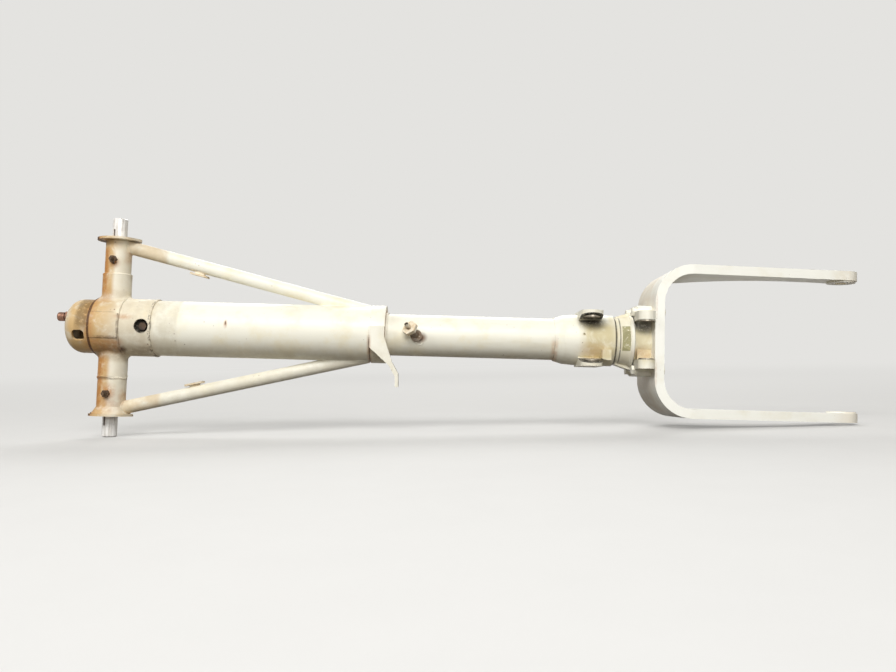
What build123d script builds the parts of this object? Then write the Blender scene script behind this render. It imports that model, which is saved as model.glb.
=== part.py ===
from build123d import *
import math
import os

os.makedirs("parts", exist_ok=True)

# Nose gear strut. Millimetres. X runs down the strut from the top cap to the fork, Z runs along
# the trunnion axis and -Y is the side that carries the torque link lugs. The origin is where the
# trunnion axis crosses the strut axis.

# Clearances
running_clearance = 0.05
turning_gap = 0.3

# Housing tube, its head sleeve and the collar at its lower end
housing_bore = 71.0
housing_wall = 3.0
housing_above_trunnion = 22.0
housing_below_trunnion = 380.0
sleeve_wall = 1.5
sleeve_below_trunnion = 62.0
saddle_below_trunnion = 18.0
saddle_pad_height = 34.0
saddle_pad_thickness = 1.2
saddle_pad_corner = 1.5
weld_bead_width = 3.2
saddle_bead_height = 1.6
sleeve_bead_height = 0.5
sight_hole_diameter = 19.0
sight_hole_x = 50.0
collar_wall = 1.8
collar_length = 20.0

# Trunnion tubes, flanges, bushes and pins
pin_span = 304.8
pin_diameter = 20.0
pin_journal_diameter = 21.0
pin_protrusion = 28.4
pin_length = 92.0
pin_chamfer = 1.0
pin_slot_width = 2.6
pin_slot_length = 12.0
pin_slot_depth = 3.5
pin_slot_offset = 4.5
pin_ring_wall = 2.4
pin_ring_thickness = 2.0
bush_wall = 3.0
trunnion_root_diameter = 39.0
upper_trunnion_diameter = 35.2
lower_trunnion_diameter = 38.4
lower_trunnion_end_diameter = 51.4
trunnion_step_height = 73.0
trunnion_root_fillet = 6.0
flare_length = 10.0
flange_thickness = 3.0
flange_radius = 29.0
flange_nose_radius = 11.0
flange_nose_x = 20.0

# Diagonal brace tubes and their tabs
brace_diameter = 18.5
brace_wall = 1.65
brace_head_drop = 4.6
brace_foot_x = 353.0
brace_foot_height = 32.0
brace_end_gap = 2.0
tab_x = 118.0
tab_length = 26.0
tab_width = 15.0
tab_thickness = 2.5
tab_standoff = 2.0
tab_corner = 3.0
tab_hole_diameter = 5.2
tab_hole_offset = 9.5

# Hook plate under the collar
hook_plate_thickness = 4.0
hook_plate_top = 9.0
hook_plate_foot = 20.0
hook_shoulder_drop = 5.0
hook_root_x = 12.0
hook_root_drop = 40.0
hook_elbow_x = 20.5
hook_elbow_drop = 55.0
hook_tip_x = 21.0
hook_tip_drop = 73.0
hook_finger_width = 18.0
hook_finger_thickness = 4.2

# Grease fittings on the trunnion tubes
grease_fitting_height = 93.0
grease_hex_across_flats = 9.0
grease_hex_length = 6.0
grease_nipple_length = 6.5
grease_nipple_radius = 3.2
grease_nipple_taper = 12.0
fitting_seat_depth = 1.0

# Cylinder that turns in the housing
cylinder_diameter = 58.0
cylinder_wall = 4.0
cylinder_end_x = 640.0
steering_bearing_length = 40.0
retainer_thickness = 3.0
retainer_wall = 1.7
thrust_ring_thickness = 4.0
thrust_ring_diameter = 76.0
cap_seat_length = 5.0
cap_length = 35.0
cap_diameter = 75.0
cap_dome_radius = 21.0
cap_wall = 5.0
cap_window_length = 16.5
cap_window_width = 15.0
cap_window_corner = 5.0
cap_window_angle = 23.0
air_valve_height = 12.5
air_valve_hex = 14.0
air_valve_hex_length = 7.0
air_valve_neck = 2.0
air_valve_cap_radius = 6.3
air_valve_cap_length = 10.0
air_valve_cap_round = 2.6
head_plug_thickness = 24.0
stop_bolt_head_height = 4.5
stop_bolt_across_flats = 11.0
stop_bolt_chamfer = 0.6

# Side valve on the cylinder
side_valve_x = 423.0
side_valve_z = -2.0
side_valve_lean = 33.0
side_valve_lift = 30.0
side_valve_boss_radius = 8.0
side_valve_boss_height = 3.0
side_valve_stem_radius = 5.0
side_valve_hex = 19.0
side_valve_hex_start = 15.0
side_valve_hex_length = 5.0
side_valve_tip_radius = 3.4
side_valve_tip_length = 8.0
side_valve_bore_radius = 2.0
side_valve_bore_depth = 6.0

# Torque collar at the lower end of the cylinder
collar_joint_x = 614.0
torque_collar_length = 82.0
torque_collar_neck_diameter = 61.0
torque_collar_diameter = 71.0
torque_collar_taper = 12.0
torque_collar_edge = 1.5
lug_x = 660.0
lug_outer_width = 75.2
lug_root_gap = 50.0
lug_root_reach = 25.0
lug_tip_gap = 66.0
lug_seat_gap = 60.0
lug_length = 30.0
lug_reach = 47.0
lug_end_radius = 15.0
link_bolt_diameter = 9.6
link_bush_wall = 2.7
link_bush_flange = 3.0
link_bush_flange_thickness = 1.5
stop_block_length = 12.0
stop_block_width = 14.2
stop_block_x = 682.0
stop_block_z = -21.4
stop_block_height = 6.0
set_screw_x = 652.0
set_screw_z = 6.0
set_screw_hole_diameter = 3.5
set_screw_hole_depth = 4.0

# Gland at the lower end of the cylinder
gland_nut_length = 8.0
gland_nut_diameter = 62.0
gland_notch_count = 6
gland_notch_width = 6.0
gland_notch_depth = 1.5
gland_notch_turn = 15.0
gland_bearing_length = 34.0
gland_seal_length = 7.0

# Oil metering inside the strut
orifice_tube_diameter = 30.0
orifice_tube_wall = 3.0
orifice_tube_end_x = 556.0
orifice_plate_thickness = 6.0
orifice_hole_diameter = 13.0
metering_pin_diameter = 10.0
metering_pin_length = 305.0
metering_pin_tip = 12.0

# Piston and its upper bearing
stroke = 150.0
piston_diameter = 44.45
piston_wall = 3.7
piston_lip = 1.5
guide_spread_extended = 98.5
bearing_ring_width = 3.2
bearing_ring_wall = 2.2
piston_bearing_length = 30.0
piston_plug_length = 22.0

# Fork fitting on the lower end of the piston
fitting_top_diameter = 66.0
fitting_shoulder_diameter = 72.0
fitting_shoulder_x = 716.0
fitting_ring_length = 5.0
fitting_ring_diameter = 75.0
fitting_barrel_diameter = 62.0
fitting_flange_thickness = 19.5
fitting_flange_edge = 8.5
fitting_rib_height = 42.0
fitting_rib_width = 22.0
fitting_pocket_length = 10.0
fitting_pocket_height = 33.0
fitting_pocket_depth = 3.0
fitting_pocket_lip = 1.0
fitting_pocket_z = 2.0
fitting_edge = 2.0
fitting_lug_gap = 53.0
fitting_lug_thickness = 12.5
fitting_lug_width = 23.0
fitting_lug_reach = 47.0

# Fork
fork_web_x = 745.3
fork_bar = 12.7
fork_outer_width = 208.6
fork_length = 290.7
fork_near_edge = 48.0
fork_far_edge = 58.0
fork_axle_y = -5.0
fork_tip_radius = 21.0
arm_curve_start = 0.22
arm_curve_end = 0.30
axle_bolt_diameter = 15.9
axle_boss_diameter = 38.0
axle_boss_thickness = 2.0
fork_bolt_diameter = 6.35
fork_bolt_spacing_y = 40.0
fork_bolt_spacing_z = 80.0
fork_bolt_margin = 12.3
bolt_head_across_flats = 11.1
bolt_head_height = 5.0
fork_washer_thickness = 1.6
fork_washer_diameter = 14.0
fork_bolt_end = 0.4

# Radii and stations that follow from the sizes above
housing_bore_radius = housing_bore / 2
housing_radius = housing_bore_radius + housing_wall
sleeve_radius = housing_radius + sleeve_wall
collar_radius = housing_radius + collar_wall
cylinder_radius = cylinder_diameter / 2
cylinder_bore_radius = cylinder_radius - cylinder_wall
cylinder_running_radius = cylinder_radius + running_clearance
piston_radius = piston_diameter / 2
piston_bore_radius = piston_radius - piston_wall
pin_radius = pin_diameter / 2
journal_radius = pin_journal_diameter / 2
bush_radius = journal_radius + running_clearance + bush_wall
brace_radius = brace_diameter / 2
link_bolt_radius = link_bolt_diameter / 2
link_bush_radius = link_bolt_radius + link_bush_wall
fork_bolt_radius = fork_bolt_diameter / 2
fork_corner_radius = (fork_outer_width - fork_bolt_spacing_z) / 2 - fork_bolt_margin

housing_top_x = -housing_above_trunnion
flange_outer_z = pin_span / 2 - pin_protrusion
flange_inner_z = flange_outer_z - flange_thickness
pin_inner_z = pin_span / 2 - pin_length
pin_ring_z = pin_inner_z + pin_ring_thickness
bush_inner_z = pin_ring_z + pin_ring_thickness + turning_gap
torque_collar_end_x = collar_joint_x + torque_collar_length
gland_nut_x = torque_collar_end_x - gland_nut_length
fitting_top_x = torque_collar_end_x + turning_gap
thrust_ring_x = housing_top_x - turning_gap
cap_x = thrust_ring_x - thrust_ring_thickness
cap_end_x = cap_x - cap_length
cylinder_top_x = cap_x - cap_seat_length
link_seat_radius = link_bush_radius + link_bush_flange


def sleeve(label, start_x, end_x, inner_radius, outer_radius):
    """A plain sleeve, ring or disc round the strut axis, written under its label."""
    with BuildPart() as ring:
        with BuildSketch(Plane.YZ.offset(start_x)):
            Circle(outer_radius)
            if inner_radius > 0:
                Circle(inner_radius, mode=Mode.SUBTRACT)
        extrude(amount=end_x - start_x)
    ring.part.label = label
    export_step(ring.part, f"parts/{label}.step")
    return ring.part


def solid_bar(start_x, end_x, radius):
    """A round bar on the strut axis, used to cut other pieces to it."""
    with BuildPart() as bar:
        with BuildSketch(Plane.YZ.offset(start_x)):
            Circle(radius)
        extrude(amount=end_x - start_x)
    return bar.part


housing_envelope = solid_bar(housing_top_x, housing_below_trunnion, housing_radius)
sleeve_envelope = solid_bar(housing_top_x, sleeve_below_trunnion, sleeve_radius)
saddle_envelope = solid_bar(housing_top_x - trunnion_root_diameter, sleeve_below_trunnion,
                            sleeve_radius)
lug_side = Plane(origin=(0, 0, 0), x_dir=(1, 0, 0), z_dir=(0, -1, 0))
sight_plane = Plane(origin=(sight_hole_x, 0, 0), x_dir=(1, 0, 0), z_dir=(0, -1, 0))


# Housing tube, with the sight hole on the lug side
with BuildPart() as housing_tube:
    with BuildSketch(Plane.YZ.offset(housing_top_x)):
        Circle(housing_radius)
        Circle(housing_bore_radius, mode=Mode.SUBTRACT)
    extrude(amount=housing_below_trunnion - housing_top_x)
    with BuildSketch(sight_plane):
        Circle(sight_hole_diameter / 2)
    extrude(amount=2 * housing_radius, mode=Mode.SUBTRACT)
housing_tube.part.label = "housing_tube"
export_step(housing_tube.part, "parts/housing_tube.step")


# Head sleeve: a second skin with a weld bead at the saddle and at its end, and a raised pad
# between the roots of the two trunnion tubes
with BuildPart() as head_sleeve:
    add(sleeve_envelope)
    for bead_x, bead_height in (
        (saddle_below_trunnion, saddle_bead_height),
        (sleeve_below_trunnion - weld_bead_width / 2, sleeve_bead_height),
    ):
        with BuildSketch(Plane.XY):
            with BuildLine():
                Polyline(
                    (bead_x - weld_bead_width / 2, sleeve_radius - sleeve_wall),
                    (bead_x - weld_bead_width / 2, sleeve_radius),
                    (bead_x - weld_bead_width / 4, sleeve_radius + bead_height),
                    (bead_x + weld_bead_width / 4, sleeve_radius + bead_height),
                    (bead_x + weld_bead_width / 2, sleeve_radius),
                    (bead_x + weld_bead_width / 2, sleeve_radius - sleeve_wall),
                    close=True,
                )
            make_face()
        revolve(axis=Axis.X)
    pad_length = saddle_below_trunnion - housing_top_x
    with BuildSketch(lug_side):
        with Locations((housing_top_x + pad_length / 2, 0)):
            RectangleRounded(pad_length, saddle_pad_height, saddle_pad_corner)
    extrude(amount=sleeve_radius + saddle_pad_thickness)
    with BuildSketch(Plane.YZ.offset(housing_top_x)):
        Circle(2 * sleeve_radius)
        Circle(sleeve_radius + saddle_pad_thickness, mode=Mode.SUBTRACT)
    extrude(amount=pad_length - weld_bead_width / 2, mode=Mode.SUBTRACT)
    add(housing_envelope, mode=Mode.SUBTRACT)
    with BuildSketch(sight_plane):
        Circle(sight_hole_diameter / 2)
    extrude(amount=2 * sleeve_radius, mode=Mode.SUBTRACT)
head_sleeve.part.label = "head_sleeve"
export_step(head_sleeve.part, "parts/head_sleeve.step")


def mirrored_below(piece):
    """The same piece on the lower side of the strut."""
    with BuildPart() as below:
        add(mirror(piece, about=Plane.XY, mode=Mode.PRIVATE))
    return below.part


def trunnion_tube(side_name, side, outer_diameter, end_diameter):
    """Trunnion tube: saddled on the head sleeve, widened to its flange, bored for its bush."""
    root_radius = trunnion_root_diameter / 2
    outer_radius = outer_diameter / 2
    shoulder = root_radius - outer_radius
    with BuildPart() as tube:
        add(saddle_envelope)
        with BuildSketch(Plane.XZ):
            with BuildLine():
                Polyline(
                    (0, 0),
                    (root_radius, 0),
                    (root_radius, trunnion_step_height),
                    (outer_radius, trunnion_step_height + shoulder),
                    (outer_radius, flange_inner_z - flare_length),
                    (end_diameter / 2, flange_inner_z),
                    (0, flange_inner_z),
                    close=True,
                )
            make_face()
        revolve(axis=Axis.Z)
        root_edges = tube.edges().filter_by(GeomType.BSPLINE)
        fillet(root_edges, radius=trunnion_root_fillet)
        add(saddle_envelope, mode=Mode.SUBTRACT)
        split(bisect_by=Plane.YZ.offset(housing_top_x), keep=Keep.TOP)
        add(head_sleeve.part, mode=Mode.SUBTRACT)
        with BuildSketch(Plane.XY.offset(pin_inner_z - turning_gap)):
            Circle(bush_radius)
        extrude(amount=flange_inner_z, mode=Mode.SUBTRACT)
    piece = tube.part if side > 0 else mirrored_below(tube.part)
    piece.label = f"trunnion_tube_{side_name}"
    export_step(piece, f"parts/trunnion_tube_{side_name}.step")
    return piece


def trunnion_flange(side_name, side):
    """Flange plate on the end of a trunnion tube, drawn out over the head of the brace tube."""
    with BuildPart() as flange:
        with BuildSketch(Plane.XY.offset(flange_inner_z)):
            Circle(flange_radius)
            with Locations((flange_nose_x, 0)):
                Circle(flange_nose_radius)
            make_hull()
            Circle(bush_radius, mode=Mode.SUBTRACT)
        extrude(amount=flange_thickness)
    piece = flange.part if side > 0 else mirrored_below(flange.part)
    piece.label = f"trunnion_flange_{side_name}"
    export_step(piece, f"parts/trunnion_flange_{side_name}.step")


def trunnion_bush(side_name, side):
    """Bush pressed in the trunnion tube, flush with the outer face of the flange."""
    with BuildPart() as bush:
        with BuildSketch(Plane.XY.offset(bush_inner_z)):
            Circle(bush_radius)
            Circle(journal_radius + running_clearance, mode=Mode.SUBTRACT)
        extrude(amount=flange_outer_z - bush_inner_z)
    piece = bush.part if side > 0 else mirrored_below(bush.part)
    piece.label = f"trunnion_bush_{side_name}"
    export_step(piece, f"parts/trunnion_bush_{side_name}.step")


def trunnion_pin(side_name, side):
    """Polished pin: journal in the bush, key slot beside the flange, ring that keeps it in."""
    with BuildPart() as pin:
        with BuildSketch(Plane.XY.offset(pin_inner_z)):
            Circle(journal_radius)
        extrude(amount=flange_outer_z - pin_inner_z)
        with BuildSketch(Plane.XY.offset(flange_outer_z)):
            Circle(pin_radius)
        extrude(amount=pin_protrusion)
        chamfer(pin.edges().sort_by(Axis.Z)[-1], length=pin_chamfer)
        slot_plane = Plane(origin=(0, -pin_radius, 0), x_dir=(1, 0, 0), z_dir=(0, -1, 0))
        with BuildSketch(slot_plane.offset(-pin_slot_depth)):
            with Locations((-pin_slot_offset, flange_outer_z + pin_slot_length / 2)):
                Rectangle(pin_slot_width, pin_slot_length)
        extrude(amount=pin_radius, mode=Mode.SUBTRACT)
    piece = pin.part if side > 0 else mirrored_below(pin.part)
    piece.label = f"trunnion_pin_{side_name}"
    export_step(piece, f"parts/trunnion_pin_{side_name}.step")
    with BuildPart() as ring:
        with BuildSketch(Plane.XY.offset(pin_ring_z)):
            Circle(journal_radius + pin_ring_wall)
            Circle(journal_radius, mode=Mode.SUBTRACT)
        extrude(amount=pin_ring_thickness)
    piece = ring.part if side > 0 else mirrored_below(ring.part)
    piece.label = f"pin_ring_{side_name}"
    export_step(piece, f"parts/pin_ring_{side_name}.step")


trunnion_tubes = {}
for side_name, side, outer_diameter, end_diameter in (
    ("upper", 1, upper_trunnion_diameter, upper_trunnion_diameter),
    ("lower", -1, lower_trunnion_diameter, lower_trunnion_end_diameter),
):
    trunnion_tubes[side_name] = trunnion_tube(side_name, side, outer_diameter, end_diameter)
    trunnion_flange(side_name, side)
    trunnion_bush(side_name, side)
    trunnion_pin(side_name, side)


# Brace tubes run from under the flanges to the foot of the housing
brace_head_z = flange_inner_z - brace_head_drop
brace_slope = math.atan2(brace_head_z - brace_foot_height, brace_foot_x)
brace_direction = Vector(math.cos(brace_slope), 0, -math.sin(brace_slope))
brace_end_x = housing_below_trunnion - collar_length - brace_end_gap
brace_plane = Plane(origin=(0, 0, brace_head_z), x_dir=(0, 1, 0), z_dir=brace_direction)


def brace_tube(side_name, side):
    """Brace tube, coped to the trunnion tube, the flange and the housing."""
    head = trunnion_tubes[side_name] if side > 0 else mirrored_below(trunnion_tubes[side_name])
    with BuildPart() as brace:
        with BuildSketch(brace_plane):
            Circle(brace_radius)
            Circle(brace_radius - brace_wall, mode=Mode.SUBTRACT)
        extrude(amount=2 * brace_foot_x)
        split(bisect_by=Plane.XY.offset(flange_inner_z), keep=Keep.BOTTOM)
        split(bisect_by=Plane.YZ.offset(brace_end_x), keep=Keep.BOTTOM)
        add(head, mode=Mode.SUBTRACT)
        with BuildSketch(Plane.XY):
            Circle(bush_radius)
        extrude(amount=flange_outer_z, mode=Mode.SUBTRACT)
        add(housing_envelope, mode=Mode.SUBTRACT)
        add(brace.solids().sort_by(Axis.X)[-1], mode=Mode.REPLACE)
    piece = brace.part if side > 0 else mirrored_below(brace.part)
    piece.label = f"brace_tube_{side_name}"
    export_step(piece, f"parts/brace_tube_{side_name}.step")


def brace_tab(side_name, side):
    """Small drilled tab that stands off the inner side of a brace tube."""
    along = tab_x / math.cos(brace_slope)
    tab_plane = Plane(
        origin=brace_plane.origin + brace_direction * along,
        x_dir=brace_direction,
        z_dir=Vector(math.sin(brace_slope), 0, math.cos(brace_slope)),
    )
    plate_offset = brace_radius + tab_standoff
    with BuildPart() as tab:
        with BuildSketch(tab_plane.offset(-plate_offset - tab_thickness)):
            RectangleRounded(tab_length, tab_width, tab_corner)
        extrude(amount=tab_thickness)
        with BuildSketch(tab_plane.offset(-plate_offset - tab_thickness / 2)):
            Rectangle(tab_length / 2, tab_width / 2)
        extrude(amount=plate_offset)
        with BuildSketch(brace_plane):
            Circle(brace_radius)
        extrude(amount=brace_foot_x, mode=Mode.SUBTRACT)
        with BuildSketch(tab_plane.offset(-plate_offset - tab_thickness)):
            with Locations((tab_hole_offset, 0)):
                Circle(tab_hole_diameter / 2)
        extrude(amount=tab_thickness, mode=Mode.SUBTRACT)
    piece = tab.part if side > 0 else mirrored_below(tab.part)
    piece.label = f"brace_tab_{side_name}"
    export_step(piece, f"parts/brace_tab_{side_name}.step")


for side_name, side in (("upper", 1), ("lower", -1)):
    brace_tube(side_name, side)
    brace_tab(side_name, side)


# Collar shrunk on the foot of the housing
collar_x = housing_below_trunnion - collar_length
with BuildPart() as lower_collar:
    with BuildSketch(Plane.YZ.offset(collar_x)):
        Circle(collar_radius)
        Circle(housing_radius, mode=Mode.SUBTRACT)
    extrude(amount=collar_length)
    chamfer(lower_collar.edges().filter_by(GeomType.CIRCLE).sort_by(Axis.X)[-1],
            length=collar_wall / 3)
lower_collar.part.label = "lower_collar"
export_step(lower_collar.part, "parts/lower_collar.step")


# Hook plate: flat against the lug side of the collar, narrowing to a cranked finger
hook_x = housing_below_trunnion
hook_plane = Plane(origin=(hook_x, -collar_radius, 0), x_dir=(1, 0, 0), z_dir=(0, -1, 0))
finger_outline = [
    (hook_elbow_x, -hook_elbow_drop),
    (hook_tip_x, -hook_tip_drop),
    (hook_tip_x - hook_finger_thickness, -hook_tip_drop),
    (hook_elbow_x - hook_finger_thickness, -hook_elbow_drop - hook_finger_thickness),
    (hook_root_x - hook_finger_thickness, -hook_root_drop - hook_finger_thickness),
    (hook_root_x, -hook_root_drop),
]
with BuildPart() as hook_plate:
    with BuildSketch(hook_plane):
        with BuildLine():
            Polyline(
                (0, hook_plate_top),
                (0, -hook_shoulder_drop),
                (hook_root_x, -hook_root_drop),
                (hook_root_x - hook_finger_thickness, -hook_root_drop - hook_finger_thickness),
                (-collar_length, -hook_plate_foot),
                (-collar_length, hook_plate_top),
                close=True,
            )
        make_face()
    extrude(amount=hook_plate_thickness)
    with BuildSketch(hook_plane.offset(hook_plate_thickness)):
        with BuildLine():
            Polyline(*finger_outline, close=True)
        make_face()
    extrude(amount=-hook_finger_width)
    with BuildSketch(hook_plane):
        with Locations((-collar_length / 2, 0)):
            Rectangle(collar_length, 2 * hook_plate_top)
    extrude(amount=-hook_plate_thickness)
    add(solid_bar(collar_x - collar_length, hook_x + collar_length, collar_radius),
        mode=Mode.SUBTRACT)
hook_plate.part.label = "hook_plate"
export_step(hook_plate.part, "parts/hook_plate.step")


# Grease fittings: a hex and a nipple on the lug side of each trunnion tube
with BuildPart() as grease_fittings:
    for fitting_z, tube_diameter in (
        (grease_fitting_height, upper_trunnion_diameter),
        (-grease_fitting_height, lower_trunnion_diameter),
    ):
        seat = tube_diameter / 2
        fitting_plane = Plane(origin=(0, -seat, fitting_z), x_dir=(1, 0, 0), z_dir=(0, -1, 0))
        with BuildSketch(fitting_plane.offset(-fitting_seat_depth)):
            RegularPolygon(grease_hex_across_flats / 2, 6, major_radius=False)
        extrude(amount=grease_hex_length + fitting_seat_depth)
        with BuildSketch(fitting_plane.offset(grease_hex_length)):
            Circle(grease_nipple_radius)
        extrude(amount=grease_nipple_length, taper=grease_nipple_taper)
        with BuildSketch(Plane.XY.offset(fitting_z - grease_hex_across_flats)):
            Circle(seat)
        extrude(amount=2 * grease_hex_across_flats, mode=Mode.SUBTRACT)
grease_fittings.part.label = "grease_fittings"
export_step(grease_fittings.part, "parts/grease_fittings.step")


# Steering bearings pressed in the two ends of the housing, and the ring that keeps the lower one
sleeve("steering_bearing_upper", housing_top_x, housing_top_x + steering_bearing_length,
       cylinder_running_radius, housing_bore_radius)
sleeve("steering_bearing_lower", housing_below_trunnion - steering_bearing_length,
       housing_below_trunnion, cylinder_running_radius, housing_bore_radius)
sleeve("bearing_retainer", housing_below_trunnion, housing_below_trunnion + retainer_thickness,
       cylinder_radius + turning_gap, cylinder_radius + turning_gap + retainer_wall)


# Cylinder tube, its thrust ring and the stop bolt that shows in the sight hole
sleeve("cylinder_tube", cylinder_top_x, cylinder_end_x, cylinder_bore_radius, cylinder_radius)
sleeve("thrust_ring", cap_x, thrust_ring_x, cylinder_radius, thrust_ring_diameter / 2)

with BuildPart() as stop_bolt:
    with BuildSketch(sight_plane.offset(cylinder_radius - fitting_seat_depth)):
        RegularPolygon(stop_bolt_across_flats / 2, 6, major_radius=False)
    extrude(amount=stop_bolt_head_height + fitting_seat_depth)
    chamfer(stop_bolt.faces().sort_by(Axis.Y)[0].edges(), length=stop_bolt_chamfer)
    add(solid_bar(sight_hole_x - sight_hole_diameter, sight_hole_x + sight_hole_diameter,
                  cylinder_radius), mode=Mode.SUBTRACT)
stop_bolt.part.label = "stop_bolt"
export_step(stop_bolt.part, "parts/stop_bolt.step")


# Top cap: a dome with two windows round the cylinder head
cap_radius = cap_diameter / 2
with BuildPart() as top_cap:
    with BuildSketch(Plane.XY) as cap_profile:
        with BuildLine():
            Polyline((cap_end_x, 0), (cap_end_x, cap_radius), (cap_x, cap_radius), (cap_x, 0),
                     close=True)
        make_face()
        fillet(cap_profile.vertices().group_by(Axis.Y)[-1].sort_by(Axis.X)[0],
               radius=cap_dome_radius)
    revolve(axis=Axis.X)
    with BuildSketch(Plane.XY) as cap_hollow:
        with BuildLine():
            Polyline((cap_end_x + cap_wall, 0), (cap_end_x + cap_wall, cap_radius - cap_wall),
                     (cylinder_top_x, cap_radius - cap_wall), (cylinder_top_x, cylinder_radius),
                     (cap_x, cylinder_radius), (cap_x, 0), close=True)
        make_face()
        fillet(cap_hollow.vertices().group_by(Axis.Y)[-1].sort_by(Axis.X)[0],
               radius=cap_dome_radius - cap_wall)
    revolve(axis=Axis.X, mode=Mode.SUBTRACT)
    for window_turn in (0, 180):
        window_plane = Plane.XY.rotated((90 + cap_window_angle + window_turn, 0, 0))
        with BuildSketch(window_plane):
            with Locations((cylinder_top_x - cap_window_length / 2 + cap_seat_length / 2, 0)):
                RectangleRounded(cap_window_length, cap_window_width, cap_window_corner)
        extrude(amount=2 * cap_radius, mode=Mode.SUBTRACT)
    with BuildSketch(Plane.YZ.offset(cap_end_x)):
        with Locations((0, air_valve_height)):
            Circle(grease_nipple_radius)
    extrude(amount=cap_wall, mode=Mode.SUBTRACT)
top_cap.part.label = "top_cap"
export_step(top_cap.part, "parts/top_cap.step")


# Air valve through the nose of the cap: hex, neck and a rounded dust cap
air_valve_cap_start = air_valve_hex_length + air_valve_neck
with BuildPart() as air_valve:
    valve_plane = Plane(origin=(cap_end_x, 0, air_valve_height), x_dir=(0, 1, 0), z_dir=(-1, 0, 0))
    with BuildSketch(valve_plane.offset(-cap_wall)):
        Circle(grease_nipple_radius)
    extrude(amount=cap_wall + air_valve_cap_start)
    with BuildSketch(valve_plane):
        RegularPolygon(air_valve_hex / 2, 6, major_radius=False)
    extrude(amount=air_valve_hex_length)
    with BuildSketch(valve_plane.offset(air_valve_cap_start)):
        Circle(air_valve_cap_radius)
    extrude(amount=air_valve_cap_length)
    fillet(air_valve.edges().filter_by(GeomType.CIRCLE).sort_by(Axis.X)[0],
           radius=air_valve_cap_round)
air_valve.part.label = "air_valve"
export_step(air_valve.part, "parts/air_valve.step")


# Side valve: a round boss on the cylinder with a leaning stem, its hex and a hollow tip
valve_lean = math.radians(side_valve_lean)
valve_lift = math.radians(side_valve_lift)
valve_direction = Vector(-math.sin(valve_lean) * math.cos(valve_lift),
                         -math.cos(valve_lean) * math.cos(valve_lift),
                         math.sin(valve_lift))
hex_end = side_valve_hex_start + side_valve_hex_length
tip_end = hex_end + side_valve_tip_length
with BuildPart() as side_valve:
    with BuildSketch(lug_side):
        with Locations((side_valve_x, side_valve_z)):
            Circle(side_valve_boss_radius)
    extrude(amount=cylinder_radius + side_valve_boss_height)
    stem_plane = Plane(origin=(side_valve_x, -cylinder_radius, side_valve_z), x_dir=(0, 0, 1),
                       z_dir=valve_direction)
    with BuildSketch(stem_plane):
        Circle(side_valve_stem_radius)
    extrude(amount=side_valve_hex_start)
    with BuildSketch(stem_plane.offset(side_valve_hex_start)):
        RegularPolygon(side_valve_hex / 2, 6, major_radius=False)
    extrude(amount=side_valve_hex_length)
    with BuildSketch(stem_plane.offset(hex_end)):
        Circle(side_valve_tip_radius)
    extrude(amount=side_valve_tip_length)
    with BuildSketch(stem_plane.offset(tip_end - side_valve_bore_depth)):
        Circle(side_valve_bore_radius)
    extrude(amount=side_valve_bore_depth, mode=Mode.SUBTRACT)
    add(solid_bar(side_valve_x - 2 * side_valve_boss_radius,
                  side_valve_x + 2 * side_valve_boss_radius, cylinder_radius),
        mode=Mode.SUBTRACT)
side_valve.part.label = "side_valve"
export_step(side_valve.part, "parts/side_valve.step")


def lug_pair(centre_x, outer_width, root_gap, root_reach, tip_gap, length, reach, end_radius):
    """Two lugs towards -Y with rounded ends, and the gap for the link between them."""
    tip_reach = reach + end_radius
    with BuildPart() as lugs:
        with BuildSketch(Plane.XY.offset(-outer_width / 2)):
            with Locations((centre_x, -reach)):
                Circle(end_radius)
            with Locations((centre_x, 0)):
                Rectangle(length, end_radius)
            make_hull()
            with Locations((centre_x, -reach)):
                Circle(link_bush_radius, mode=Mode.SUBTRACT)
        extrude(amount=outer_width)
        with BuildSketch(Plane.YZ.offset(centre_x - length)):
            with BuildLine():
                Polyline(
                    (-tip_reach, tip_gap / 2),
                    (-root_reach, root_gap / 2),
                    (end_radius, root_gap / 2),
                    (end_radius, -root_gap / 2),
                    (-root_reach, -root_gap / 2),
                    (-tip_reach, -tip_gap / 2),
                    close=True,
                )
            make_face()
        extrude(amount=2 * length, mode=Mode.SUBTRACT)
    return lugs.part


def link_bushes(label, centre_x, gap, outer_width, reach):
    """Flanged bushes pressed in a pair of lugs from the inner side."""
    with BuildPart() as bushes:
        for side in (1, -1):
            with BuildSketch(Plane.XY.offset(side * (gap / 2 - link_bush_flange_thickness))):
                with Locations((centre_x, -reach)):
                    Circle(link_seat_radius)
            extrude(amount=side * link_bush_flange_thickness)
            with BuildSketch(Plane.XY.offset(side * gap / 2)):
                with Locations((centre_x, -reach)):
                    Circle(link_bush_radius)
            extrude(amount=side * (outer_width - gap) / 2)
        with BuildSketch(Plane.XY.offset(-gap)):
            with Locations((centre_x, -reach)):
                Circle(link_bolt_radius)
        extrude(amount=2 * gap, mode=Mode.SUBTRACT)
    bushes.part.label = label
    export_step(bushes.part, f"parts/{label}.step")


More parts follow.
